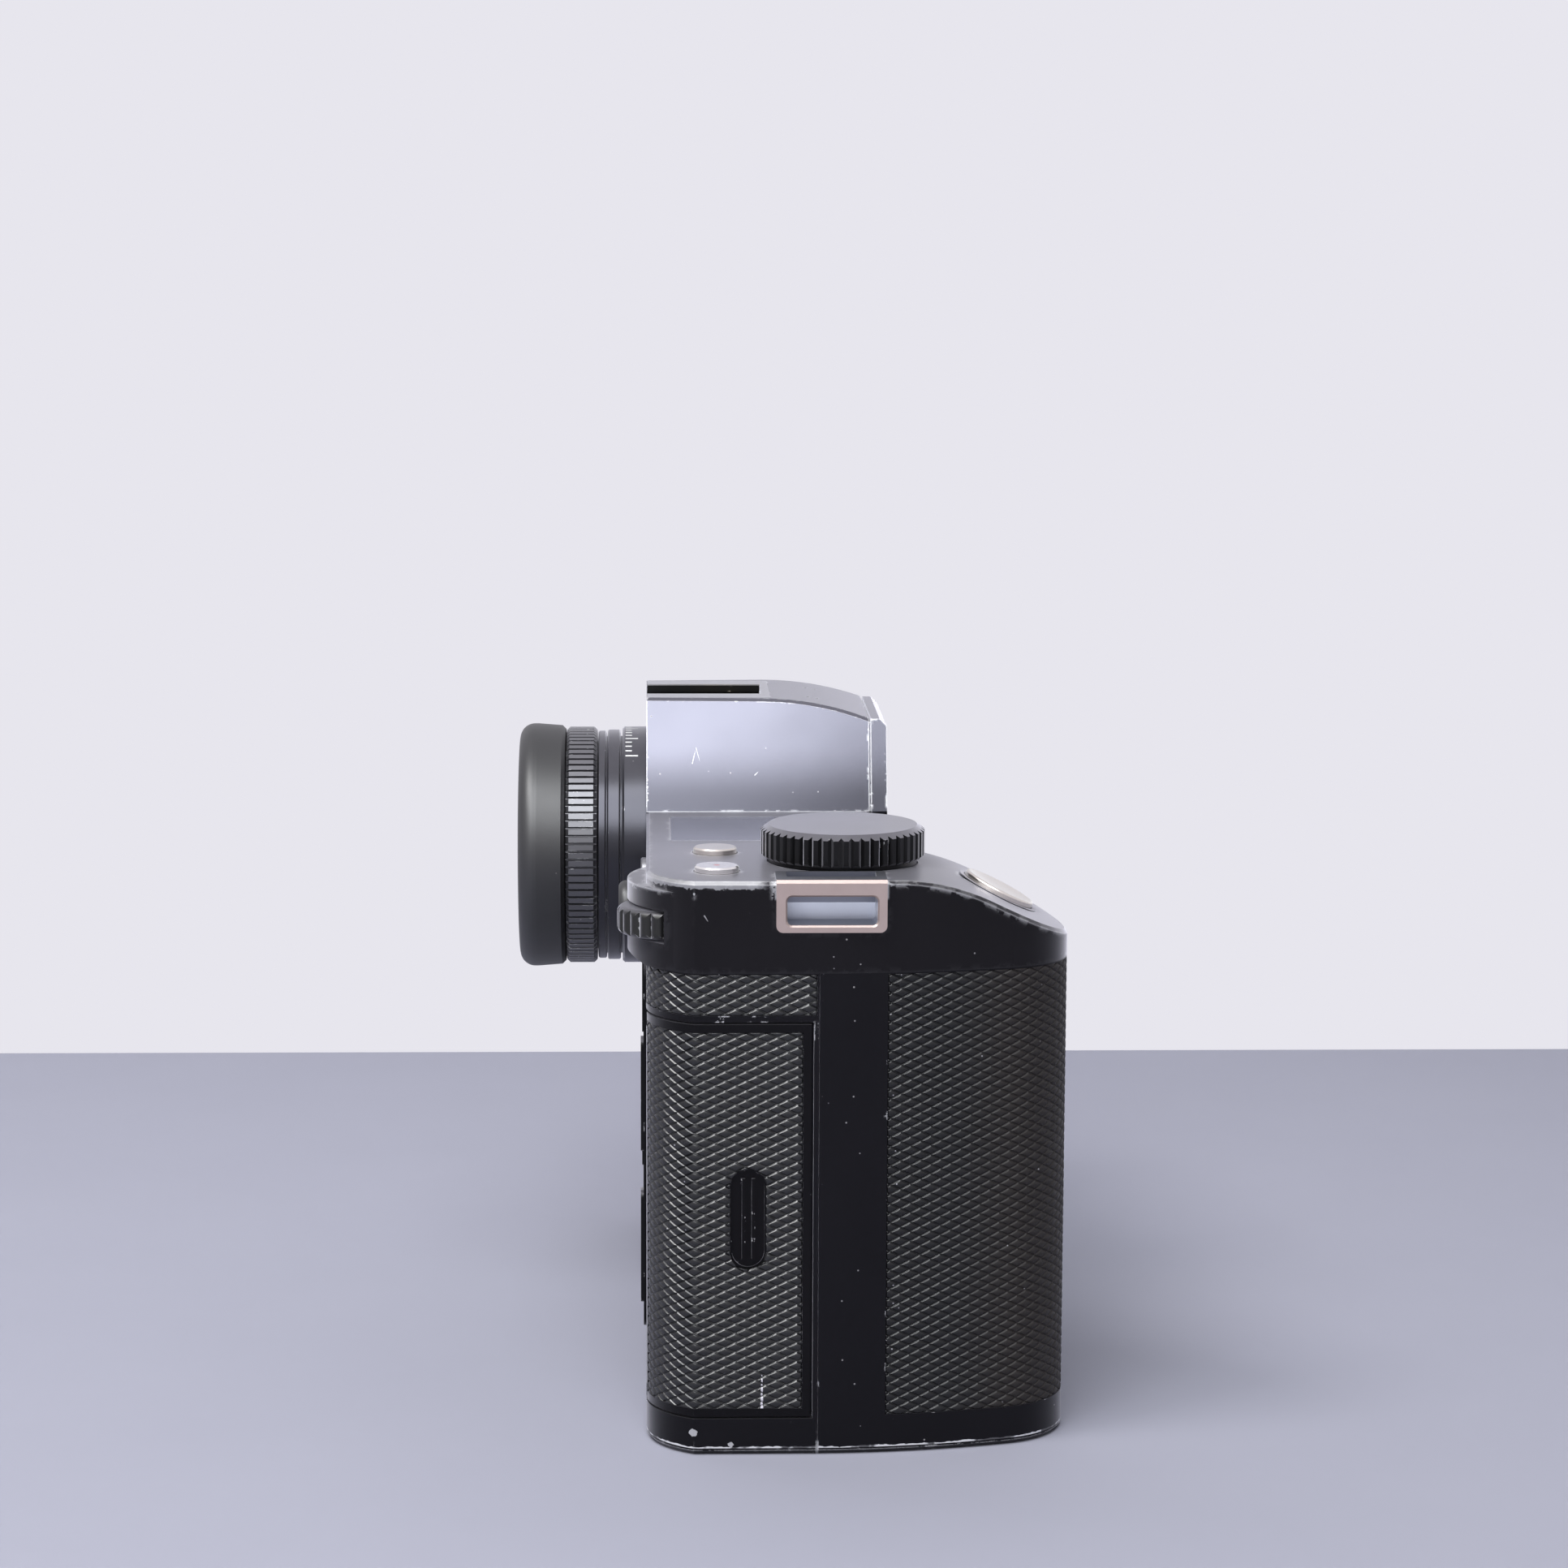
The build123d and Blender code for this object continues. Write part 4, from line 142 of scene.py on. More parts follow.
# Distinct chips as places and radii, and scratches as their ends and widths
TOP_MARKS = ((-85.95, 9.0, 84.6, 0.17),)
HUMP_SCRATCHES = (
    ((-16.29, 8.6, 93.83), (-15.39, 8.0, 96.35), 0.15),
    ((-15.39, 8.0, 96.35), (-16.32, 7.29, 93.83), 0.12),
    ((-14.08, 8.78, 99.89), (-13.68, 8.18, 101.03), 0.17),
    ((-14.34, 1.74, 99.66), (-14.54, 1.09, 99.15), 0.12),
    ((-17.17, -1.5, 92.09), (-17.0, -2.03, 92.6), 0.14),
)
TOP_SCRATCHES = (((-86.0, 7.5, 81.4), (-86.0, 7.0, 80.6), 0.2),)
SHELL_MARKS = (
    (-85.8, 9.1, 3.5, 0.6),
    (-85.7, 3.5, 1.6, 0.5),
    (-82.5, -16, 5.2, 0.3),
    (-80.5, -23, 5.0, 0.25),
)
# The hairline crack at the foot of the door's leather, painted as a pale line for its worn edge and a
# painted highlight along it: its ends and width
CRACK_WITH_HIGHLIGHT = ((-86.0, -1.1, 5.0), (-86.0, -1.1, 12.4), 0.55)

# How deep the lugs' champagne face reaches into their slots
LUG_FACE = 0.4

# How far the gold contacts stand out of their blocks
LENS_PIN_TALL = 0.29
SHOE_PAD_TALL = 0.19

# Marks on the eyepiece's flange: angles from the top towards the grip
MARK_RADIUS = 19.565
MARK_REAR = 3.45
MARK_LONG = 2.05
MARK_SHORT = 1.05
MARK_WIDE = 0.34
MARK_FIRST = 33.3
MARK_PITCH = -3.72
MARK_COUNT = 17
MARK_LONG_EVERY = 4

# The photograph's camera
CAMERA_PLACE = (-685.1, 15.15, 189.58)
CAMERA_YAW = 0.032
CAMERA_PITCH = 0.147
CAMERA_ROLL = 0.004
CAMERA_FOCAL = 5144.6
PHOTO_SIDE = 1932
SENSOR = 36.0

# The stage, in metres: where the wall stands, and where the floor goes over into the pale surround
WALL_X = 0.2
STAGE_HALF = 2.5
FLOOR_FADE = (0.55, 1.6)
FLOOR_SHADES = ((0.35, 0.35, 0.42, 1), (0.37, 0.37, 0.44, 1))
WALL_SHADE = (0.75, 0.75, 0.78, 1)
PALE = (0.80, 0.79, 0.85, 1)

# The light: each lamp's place, size, power and colour, and the surround's strength as a light
AIM = (-0.04, 0, 0.06)
LAMPS = {
    "overhead": ((-0.30, 0.45, 0.85), (0.28, 0.28), 3.4, (1.0, 0.995, 0.99)),
    "above_camera": ((-0.66, 0.16, 0.80), (0.7, 0.75), 10.0, (0.95, 0.975, 1.0)),
}
SURROUND = 0.19

# Colours that several materials share
SILVER = (0.80, 0.80, 0.81, 1)
# The pale film's colour: dust, and painted sheen on what faces up
PALE_DUST_AND_SHEEN = (0.62, 0.60, 0.66, 1)
DUST = (0.30, 0.29, 0.28, 1)
BLOOM_ROUGH = 0.35
BLOOM_TINT = (0.93, 0.91, 1.0, 1)
# How dark painted shade makes a colour at its darkest
PAINTED_SHADE_FACTOR = 0.45


def mm(*values):
    """Millimetres as a vector in metres."""
    return Vector(values) * MM


def depth_y(depth):
    """The Y of a depth measured forward from the rear face."""
    return REAR_Y - depth


def place_in_scene(name, data):
    """A new object in the scene."""
    thing = bpy.data.objects.new(name, data)
    bpy.context.scene.collection.objects.link(thing)
    return thing


def single_mesh(name, points, faces, material):
    """A plain mesh object."""
    mesh = bpy.data.meshes.new(name)
    mesh.from_pydata(points, [], faces)
    mesh.materials.append(material)
    return place_in_scene(name, mesh)


# Outline


def arc_points(centre, radius, start, turn, step=3.0):
    """Points on an arc, angles in degrees."""
    count = max(2, int(abs(turn) / step) + 1)
    return [
        (centre[0] + radius * math.cos(math.radians(start + turn * i / count)),
         centre[1] + radius * math.sin(math.radians(start + turn * i / count)))
        for i in range(count + 1)
    ]


def plan_outline():
    """The body's outline from the rear face round the grip to the far end, as close points."""
    corner_centre = (-GRIP_END + REAR_CORNER, REAR_Y - REAR_CORNER_RADIUS)
    crease = (-GRIP_END, depth_y(CREASE_DEPTH))
    crease_angle = math.degrees(math.atan2(crease[1] - corner_centre[1], crease[0] - corner_centre[0]))
    points = [(OUTLINE_START_X, REAR_Y)]
    points += arc_points(corner_centre, REAR_CORNER_RADIUS, 90, crease_angle - 90)
    side_centre = (-GRIP_END + GRIP_SIDE_RADIUS, depth_y(GRIP_START_DEPTH))
    points += arc_points(side_centre, GRIP_SIDE_RADIUS, 180, GRIP_SIDE_TURN, 0.8)
    tip = points[-1]
    heading = math.radians(180 + GRIP_SIDE_TURN)
    nose_centre = (tip[0] - GRIP_NOSE_RADIUS * math.cos(heading),
                   tip[1] - GRIP_NOSE_RADIUS * math.sin(heading))
    nose_turn = 90 + GRIP_INNER_HEADING - GRIP_SIDE_TURN
    points += arc_points(nose_centre, GRIP_NOSE_RADIUS, 180 + GRIP_SIDE_TURN, nose_turn)[1:]
    inner = math.radians(GRIP_INNER_HEADING)
    start = points[-1]
    rise = depth_y(FRONT_DEPTH) - start[1] - GRIP_ROOT_RADIUS * (1 - math.cos(inner))
    end = (start[0] + rise / math.tan(inner), start[1] + rise)
    root_centre = (end[0] + GRIP_ROOT_RADIUS * math.sin(inner),
                   end[1] - GRIP_ROOT_RADIUS * math.cos(inner))
    points += arc_points(root_centre, GRIP_ROOT_RADIUS, 90 + GRIP_INNER_HEADING, -GRIP_INNER_HEADING)
    far_centre = (FAR_END - FAR_FRONT_RADIUS, depth_y(FRONT_DEPTH) + FAR_FRONT_RADIUS)
    points += arc_points(far_centre, FAR_FRONT_RADIUS, -90, 90)
    points.append((FAR_END, 0.0))
    return points


class Outline:
    """The plan outline by its length, with its outward normals."""

    def __init__(self, points):
        self.points = points
        self.lengths = [0.0]
        for a, b in zip(points, points[1:]):
            self.lengths.append(self.lengths[-1] + math.dist(a, b))

    def at(self, length):
        """The point at a length, and the outward normal there."""
        i = 0
        while i < len(self.lengths) - 2 and self.lengths[i + 1] < length:
            i += 1
        a, b = self.points[i], self.points[i + 1]
        span = self.lengths[i + 1] - self.lengths[i]
        t = (length - self.lengths[i]) / span
        along = ((b[0] - a[0]) / span, (b[1] - a[1]) / span)
        return (a[0] + t * (b[0] - a[0]), a[1] + t * (b[1] - a[1])), (along[1], -along[0])

    def length_where(self, test):
        """The first length where a test of the point holds."""
        length = 0.0
        while not test(*self.at(length)[0]):
            length += LEATHER_STEP
        return length


# Leather


def clip(polygon, normal, offset):
    """The part of a convex polygon where normal . p <= offset."""
    kept = []
    for a, b in zip(polygon, polygon[1:] + polygon[:1]):
        da, db = (offset - normal[0] * p[0] - normal[1] * p[1] for p in (a, b))
        if da >= 0:
            kept.append(a)
        if (da >= 0) != (db >= 0):
            t = da / (da - db)
            kept.append((a[0] + t * (b[0] - a[0]), a[1] + t * (b[1] - a[1])))
    return kept


def area_of(polygon):
    """The area of a polygon."""
    doubled = sum(a[0] * b[1] - b[0] * a[1] for a, b in zip(polygon, polygon[1:] + polygon[:1]))
    return abs(doubled) / 2


def diamond_cells(span, heights, holes, origin):
    """Diamonds over a strip of the outline, cut by its borders and its holes.

    A hole is a function that gives, for a diamond's middle, the line that bounds it there."""
    half_wide, half_tall = DIAMOND_WIDE / 2, DIAMOND_TALL / 2
    cells = []
    borders = ((-1, 0), -span[0]), ((1, 0), span[1]), ((0, -1), -heights[0]), ((0, 1), heights[1])
    first_row = math.floor((heights[0] - origin[1]) / half_tall) - 1
    last_row = math.ceil((heights[1] - origin[1]) / half_tall) + 1
    first = math.floor((span[0] - origin[0]) / DIAMOND_WIDE) - 1
    last = math.ceil((span[1] - origin[0]) / DIAMOND_WIDE) + 1
    for row in range(first_row, last_row + 1):
        for column in range(first, last + 1):
            s = origin[0] + (column + 0.5 * (row % 2)) * DIAMOND_WIDE
            z = origin[1] + row * half_tall
            cell = [(s - half_wide, z), (s, z - half_tall), (s + half_wide, z), (s, z + half_tall)]
            for line in (*borders, *(hole(s, z) for hole in holes)):
                cell = clip(cell, *line)
            if len(cell) > 2 and area_of(cell) > LEAST_CELL:
                cells.append(cell)
    return cells


def with_middles(polygon):
    """A polygon with the middle of each edge added."""
    points = []
    for a, b in zip(polygon, polygon[1:] + polygon[:1]):
        points += [a, ((a[0] + b[0]) / 2, (a[1] + b[1]) / 2)]
    return points


def leather_mesh(name, outline, cells):
    """A leather of raised diamonds on the outline, closed at the back."""
    bm = bmesh.new()

    def vertex(place, height):
        (x, y), (nx, ny) = outline.at(place[0])
        return bm.verts.new(mm(x + nx * height, y + ny * height, place[1]))

    for cell in cells:
        middle = (sum(p[0] for p in cell) / len(cell), sum(p[1] for p in cell) / len(cell))
        border = with_middles(cell)
        rings = []
        for scale, share, draw in DIAMOND_RINGS:
            height = -GROOVE_DEEP * (1 - share)
            rings.append([
                vertex((middle[0] + (s - middle[0]) * scale * draw,
                        middle[1] + (z - middle[1]) * scale), height)
                for s, z in border
            ])
        back = [vertex(p, -SKIN) for p in border]
        count = len(border)
        for ring, (low, high) in enumerate(zip([back] + rings, rings)):
            for i in range(count):
                j = (i + 1) % count
                bm.faces.new((low[i], low[j], high[j], high[i])).smooth = ring != FACET_RING
        crown = vertex(middle, 0)
        for i in range(count):
            bm.faces.new((rings[-1][i], rings[-1][(i + 1) % count], crown)).smooth = True
        bm.faces.new(back[::-1])
    bmesh.ops.remove_doubles(bm, verts=bm.verts, dist=JOIN_WITHIN * MM)
    bm.verts.index_update()
    # Walls that two diamonds share would lie inside the skin
    seen = {}
    for face in bm.faces:
        seen.setdefault(frozenset(v.index for v in face.verts), []).append(face)
    shared = [face for faces in seen.values() if len(faces) > 1 for face in faces]
    bmesh.ops.delete(bm, geom=shared, context="FACES_ONLY")
    bmesh.ops.recalc_face_normals(bm, faces=bm.faces)
    mesh = bpy.data.meshes.new(name)
    bm.to_mesh(mesh)
    bm.free()
    return place_in_scene(name, mesh)


# Materials


class Shader:
    """A material's node tree, built with short calls."""

    def __init__(self, name):
        self.material = bpy.data.materials.new(name)
        self.material.use_nodes = True
        self.tree = self.material.node_tree
        self.tree.nodes.clear()
        self.place = self.add("TexCoord").outputs["Object"]
        self.geometry = self.add("NewGeometry")

    def add(self, kind, inputs=None, **settings):
        """A node, with its settings and its inputs as values or sockets."""
        node = self.tree.nodes.new("ShaderNode" + kind)
        for key, value in settings.items():
            setattr(node, key, value)
        for key, value in (inputs or {}).items():
            self.put(node.inputs[key], value)
        return node

    def put(self, socket, value):
        """Links a socket, or sets its value."""
        if isinstance(value, bpy.types.NodeSocket):
            self.tree.links.new(value, socket)
        else:
            socket.default_value = value

    def math(self, operation, *values):
        """One sum, product or the like."""
        return self.add("Math", dict(enumerate(values)), operation=operation).outputs[0]

    def fit(self, value, low, high, out_low=0.0, out_high=1.0):
        """A value read between two limits, smoothly."""
        inputs = {"Value": value, "From Min": low, "From Max": high,
                  "To Min": out_low, "To Max": out_high}
        return self.add("MapRange", inputs, interpolation_type="SMOOTHSTEP").outputs[0]

    def noise(self, size, detail=3.0, rough=0.55, stretch=(1, 1, 1), shift=(0, 0, 0)):
        """Noise whose lumps are about size millimetres across, stretched along the axes."""
        mapped = self.add("Mapping", {"Vector": self.place, "Scale": stretch, "Location": shift})
        inputs = {"Vector": mapped.outputs[0], "Scale": 1 / (size * MM),
                  "Detail": detail, "Roughness": rough}
        return self.add("TexNoise", inputs).outputs[0]

    def mix(self, share, a, b):
        """Two colours mixed by a share."""
        node = self.add("Mix", data_type="RGBA")
        self.put(node.inputs["Factor"], share)
        self.put(node.inputs[6], a)
        self.put(node.inputs[7], b)
        return node.outputs[2]

    def blend(self, share, a, b):
        """Two numbers mixed by a share."""
        return self.add("MapRange", {"Value": share, "To Min": a, "To Max": b}).outputs[0]

    def axis(self, name):
        """X, Y or Z of the place, in metres."""
        return self.add("SeparateXYZ", {"Vector": self.place}).outputs[name]

    def edges(self, width, soft=0.16):
        """Where the surface turns sharply, within a width in millimetres."""
        bevel = self.add("Bevel", {"Radius": width * MM}, samples=6)
        turned = self.add("VectorMath", {0: bevel.outputs[0], 1: self.geometry.outputs["Normal"]},
                          operation="DOT_PRODUCT")
        return self.fit(turned.outputs["Value"], 1 - soft * 0.3, 1 - soft)

    def specks(self, size, amount):
        """Small bright dots, sparse."""
        inputs = {"Vector": self.place, "Scale": 1 / (size * MM), "Randomness": 1.0}
        cells = self.add("TexVoronoi", inputs)
        near = self.fit(cells.outputs["Distance"], 0.13, 0.05)
        chosen = self.add("SeparateColor", {"Color": cells.outputs["Color"]})
        return self.math("MULTIPLY", near, self.fit(chosen.outputs[0], 1 - amount - 0.01, 1 - amount))

    def scratch(self, start, end, width):
        """One fine scratch from a place to another, in millimetres; it thins out towards its end."""
        along = mm(*end) - mm(*start)
        away = self.add("VectorMath", {0: self.place, 1: mm(*start)}, operation="SUBTRACT").outputs[0]
        unit = along / along.length_squared
        share = self.add("VectorMath", {0: away, 1: unit}, operation="DOT_PRODUCT")
        share = self.add("Clamp", {"Value": share.outputs["Value"]}).outputs[0]
        foot = self.add("VectorMath", {0: along, "Scale": share}, operation="SCALE").outputs[0]
        apart = self.add("VectorMath", {0: away, 1: foot}, operation="DISTANCE").outputs["Value"]
        return self.math("LESS_THAN", apart, self.blend(share, width / 2 * MM, width / 6 * MM))

    def nicked(self, width, wear):
        """Worn edges: a thin line with gaps, and broader chips here and there."""
        broken = self.blend(0.5, self.noise(WEAR_GRAIN, 4, 0.7), self.noise(WEAR_GRAIN * 7, 2))
        line = self.math("MULTIPLY", self.edges(width),
                         self.fit(broken, 0.68 - wear * 0.4, 0.72 - wear * 0.4))
        ragged = self.noise(WEAR_GRAIN * 3, 5, 0.65, shift=(5, 2, 1))
        torn = self.fit(ragged, 0.70 - wear * 0.18, 0.72 - wear * 0.18)
        return self.math("MAXIMUM", line, self.math("MULTIPLY", self.edges(width * 2.4, 0.1), torn))

    def spot(self, x, y, z, radius):
        """One small ragged mark at a place, in millimetres."""
        ragged = self.noise(radius * 0.8, 3, 0.7)
        away = self.add("VectorMath", {0: self.place, 1: mm(x, y, z)}, operation="DISTANCE")
        reach = self.blend(ragged, 0.4 * radius * MM, 1.6 * radius * MM)
        return self.math("LESS_THAN", away.outputs["Value"], reach)

    def upward(self, low, high):
        """Where the surface faces up."""
        normal = self.add("SeparateXYZ", {"Vector": self.geometry.outputs["Normal"]})
        return self.fit(normal.outputs["Z"], low, high)

    def bump(self, height, distance, normal=None):
        """A bump from a height, its distance in millimetres."""
        inputs = {"Height": height, "Distance": distance * MM, "Strength": 1.0}
        if normal is not None:
            inputs["Normal"] = normal
        return self.add("Bump", inputs).outputs[0]

    def output(self, surface):
        """The material, with its surface."""
        self.add("OutputMaterial", {0: surface.outputs[0]})
        return self.material

    def finish(self, **inputs):
        """The material, from the shader's own sockets."""
        names = {key.replace("_", " ").title().replace("Ior", "IOR"): value
                 for key, value in inputs.items()}
        return self.output(self.add("BsdfPrincipled", names))


def scaled(colour, factor):
    """A colour made darker or lighter, as a socket takes it."""
    return [part * factor for part in colour] + [1]


def worn_black(name, shade=(0.014, 0.0135, 0.015), rough=0.36, wear=0.5, width=0.3, dust=0.05,
               dust_and_sheen=0.12, bloom=1.0, marks=(), scratches=(), bands=(), where=None, crown=None,
               painted_fade=None, less_dust_and_sheen=None):
    """Black anodised metal, bare where its edges are worn. A metal's own colour is what it mirrors.

    What faces up carries a pale film, dust and painted sheen at once. Functions of the shader say where
    it wears (where, bands), swells (crown), darkens with painted shade towards a foot, or carries less
    of its dust and painted sheen."""
    s = Shader(name)
    worn = s.nicked(width, wear)
    if where:
        worn = s.math("MULTIPLY", worn, where(s))
    for band in bands:
        worn = s.math("MAXIMUM", worn, band(s))
    for mark in marks:
        worn = s.math("MAXIMUM", worn, s.math("MULTIPLY", s.spot(*mark), MARK_SHARE))
    for scratch in scratches:
        worn = s.math("MAXIMUM", worn, s.math("MULTIPLY", s.scratch(*scratch), SCRATCH_SHARE))
    paint = s.mix(s.noise(14, 2, 0.4), scaled(shade, 0.88), scaled(shade, 1.12))
    # Painted shade: the colour is darkened towards a foot, as the fade function gives it
    if painted_fade:
        paint = s.mix(painted_fade(s), scaled(shade, PAINTED_SHADE_FACTOR), paint)
    dusty = s.specks(1.3, dust)
    # Painted sheen: a pale film on what faces up, dust and a painted reflection at once
    cloudy = s.blend(s.noise(6, 4, 0.6), dust_and_sheen * 0.7, dust_and_sheen * 1.3)
    top_dust_and_sheen = s.math("MULTIPLY", s.upward(0.5, 0.85), cloudy)
    if less_dust_and_sheen:
        top_dust_and_sheen = s.math("MULTIPLY", top_dust_and_sheen, less_dust_and_sheen(s))
    dust_and_sheen_cover = s.math("MAXIMUM", dusty, top_dust_and_sheen)
    colour = s.mix(worn, s.mix(dust_and_sheen_cover, paint, s.mix(dusty, PALE_DUST_AND_SHEEN, DUST)), SILVER)
    metallic = s.math("SUBTRACT", 1.0, s.math("MAXIMUM", dust_and_sheen_cover, s.math("MULTIPLY", worn, 0.5)))
    roughness = s.blend(worn, rough, rough + 0.08)
    grain = s.noise(0.12, 2)
    height = s.math("SUBTRACT", s.math("MULTIPLY", grain, 0.5), worn)
    normal = s.bump(height, 0.012)
    if crown:
        normal = s.bump(crown(s), 1.0, normal=normal)
    return s.finish(base_color=colour, metallic=metallic, roughness=roughness, normal=normal,
                    sheen_weight=bloom, sheen_roughness=BLOOM_ROUGH, sheen_tint=BLOOM_TINT)


def leather_black(name, gloss):
    """The rubbery black leather of a given gloss, browner and duller round the grip's front."""
    s = Shader(name)
    browned = s.fit(s.axis("Y"), *(depth_y(depth) * MM for depth in BROWN_DEPTHS))
    base = s.mix(s.noise(6, 4), (0.006, 0.006, 0.007, 1), (0.012, 0.012, 0.013, 1))
    base = s.mix(s.math("MULTIPLY", browned, 0.6), base, (0.020, 0.015, 0.013, 1))
    # Dust specks, and the crack as a pale line: its wear, and a painted highlight along its edge
    dust_and_sheen_cover = s.math("MAXIMUM", s.math("MULTIPLY", s.specks(1.2, 0.04), 0.6), s.scratch(*CRACK_WITH_HIGHLIGHT))
    base = s.mix(dust_and_sheen_cover, base, PALE_DUST_AND_SHEEN)
    rough = s.blend(s.fit(s.noise(2.2, 2), 0.35, 0.65), 0.19, 0.29)
    dull = s.fit(s.axis("Y"), *(depth_y(depth) * MM for depth in DULL_DEPTHS), 0.0, 0.30)
    return s.finish(base_color=base, roughness=s.math("ADD", rough, dull), specular_ior_level=gloss,
                    normal=s.bump(s.noise(0.16, 4, 0.7), 0.006))


def rubber_black(name):
    """Matt rubber with a little dust."""
    s = Shader(name)
    base = s.mix(s.noise(4, 5), (0.006, 0.006, 0.0065, 1), (0.010, 0.010, 0.011, 1))
    base = s.mix(s.math("MULTIPLY", s.specks(1.4, 0.08), 0.5), base, DUST)
    rough = s.blend(s.noise(2.5, 3), 0.42, 0.48)
    return s.finish(base_color=base, roughness=rough, specular_ior_level=1.0,
                    normal=s.bump(s.noise(0.22, 4), 0.01))


def plastic_black(name):
    """Moulded plastic with a fine spark grain."""
    s = Shader(name)
    base = s.mix(s.noise(5, 3), (0.016, 0.016, 0.016, 1), (0.026, 0.026, 0.026, 1))
    rough = s.blend(s.noise(3, 3), 0.4, 0.55)
    return s.finish(base_color=base, roughness=rough, normal=s.bump(s.noise(0.3, 3), 0.02))


def steel(name, low, high, rough, depth=0.006, spread=0.18, bloom=0.2, dot=False, inner=None):
    """Steel with a fine grain and faint stains.

    A dot marks the video button, and a lug has its own colour inside."""
    s = Shader(name)
    fine = s.noise(0.25, 3, 0.6)
    base = s.mix(s.noise(3, 4), [*low, 1], [*high, 1])
    metallic = 1.0
    if dot:
        low_corner, high_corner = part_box("video_button")
        middle = (low_corner + high_corner) / 2
        middle.z = high_corner.z
        away = s.add("VectorMath", {0: s.place, 1: middle}, operation="DISTANCE").outputs["Value"]
        red = s.fit(away, DOT_RADIUS * MM * 1.1, DOT_RADIUS * MM)
        base = s.mix(red, base, DOT_RED)
        metallic = s.math("SUBTRACT", 1.0, red)
    if inner:
        from_middle = s.math("ABSOLUTE", s.math("SUBTRACT", s.axis("X"), (FAR_END - GRIP_END) / 2 * MM))
        end = (FAR_END + GRIP_END) / 2
        deep = s.fit(from_middle, (end - LUG_FACE) * MM, (end - LUG_FACE - 0.2) * MM)
        base = s.mix(deep, base, inner)
    roughness = s.blend(fine, rough - spread / 2, rough + spread / 2)
    return s.finish(base_color=base, metallic=metallic, roughness=roughness, normal=s.bump(fine, depth),
                    sheen_weight=bloom, sheen_roughness=BLOOM_ROUGH)


def contact_block(name, axis, limit, side):
    """Black plastic whose raised contacts, beyond a limit along an axis, are gold."""
    s = Shader(name)
    past = s.math("MULTIPLY", s.math("SUBTRACT", s.axis(axis), limit), side)
    beyond = s.math("GREATER_THAN", past, 0.0)
    gold = s.mix(s.noise(1.5, 3), (0.72, 0.53, 0.22, 1), (0.85, 0.66, 0.32, 1))
    black = s.mix(s.noise(4, 3), (0.014, 0.014, 0.015, 1), (0.024, 0.024, 0.025, 1))
    base = s.mix(beyond, black, gold)
    return s.finish(base_color=base, metallic=beyond, roughness=s.blend(beyond, 0.45, 0.26))


def dark_glass(name, tint, rough=0.06):
    """Coated glass over something dark, with faint smears."""
    s = Shader(name)
    base = s.mix(s.noise(8, 3), scaled(tint, 0.6), scaled(tint, 1.3))
    roughness = s.blend(s.fit(s.noise(6, 4), 0.45, 0.75), rough, rough + 0.12)
    return s.finish(base_color=base, roughness=roughness, ior=1.55, coat_weight=0.6,
                    coat_roughness=0.03)


def lens_glass(name):
    """A coated lens that shows the dark tube behind it."""
    s = Shader(name)
    base = s.mix(s.noise(9, 2), (0.010, 0.012, 0.020, 1), (0.022, 0.020, 0.034, 1))
    roughness = s.blend(s.noise(5, 3), 0.02, 0.07)
    return s.finish(base_color=base, roughness=roughness, ior=1.7, coat_weight=1.0, coat_roughness=0.02,
                    coat_tint=(0.75, 0.8, 1.0, 1))


def circuit_green(name):
    """A circuit board with tinned tracks."""
    s = Shader(name)
    tracks = s.fit(s.noise(1.4, 1, 0.4, (1, 1, 3)), 0.52, 0.54)
    base = s.mix(tracks, (0.01, 0.07, 0.035, 1), (0.03, 0.16, 0.08, 1))
    return s.finish(base_color=base, roughness=s.blend(s.noise(2), 0.3, 0.45),
                    normal=s.bump(tracks, 0.03))


# Finishes of the CAD nodes


def coat(material, *names):
    """Gives CAD nodes a material."""
    for name in names:
        data = NODES[name].data
        if data.materials:
            for i in range(len(data.materials)):
                data.materials[i] = material
        else:
            data.materials.append(material)


def upper_rims(s):
    """The top plate's upper rims, also along the slope; little elsewhere."""
    forward = s.math("MAXIMUM", s.math("SUBTRACT", depth_y(FRONT_DEPTH) * MM, s.axis("Y")), 0.0)
    rim = s.math("SUBTRACT", RIM_LOW * MM, s.math("MULTIPLY", forward, RIM_FALL))
    return s.fit(s.math("SUBTRACT", s.axis("Z"), rim), -RIM_BLEND * MM, RIM_BLEND * MM, *RIM_SHARES)


def foot_rim(s):
    """The worn foot of the shells, and a few nicks along their other edges."""
    nicks = s.fit(s.noise(4, 4, 0.6), 0.63, 0.67, 0.0, 0.9)
    return s.math("MAXIMUM", s.fit(s.axis("Z"), *(height * MM for height in FOOT_WORN)), nicks)


def foot_band(s):
    """The bare line along the foot's lower edge, broader in places."""
    high = s.blend(s.noise(2.2, 5, 0.7), (FOOT_EDGE - 0.35) * MM, (FOOT_EDGE + FOOT_TALL) * MM)
    line = s.math("MULTIPLY", s.math("LESS_THAN", s.axis("Z"), high),
                  s.math("GREATER_THAN", s.axis("Z"), (FOOT_EDGE - 0.15) * MM))
    return s.math("MULTIPLY", line, s.fit(s.noise(5, 3, 0.6), 0.44, 0.52, 0.15, 1.0))


def hump_rims(s):
    """All of the hump's edges but the line where it stands on the plate."""
    return s.fit(s.axis("Z"), *((SHOULDER + height) * MM for height in HUMP_WORN), 0.25, 1.0)


def hump_painted_shade(s):
    """Painted shade: the hump's sides are darkened towards their foot."""
    return s.fit(s.axis("Z"), *((SHOULDER + height) * MM for height in HUMP_PAINTED_SHADE))


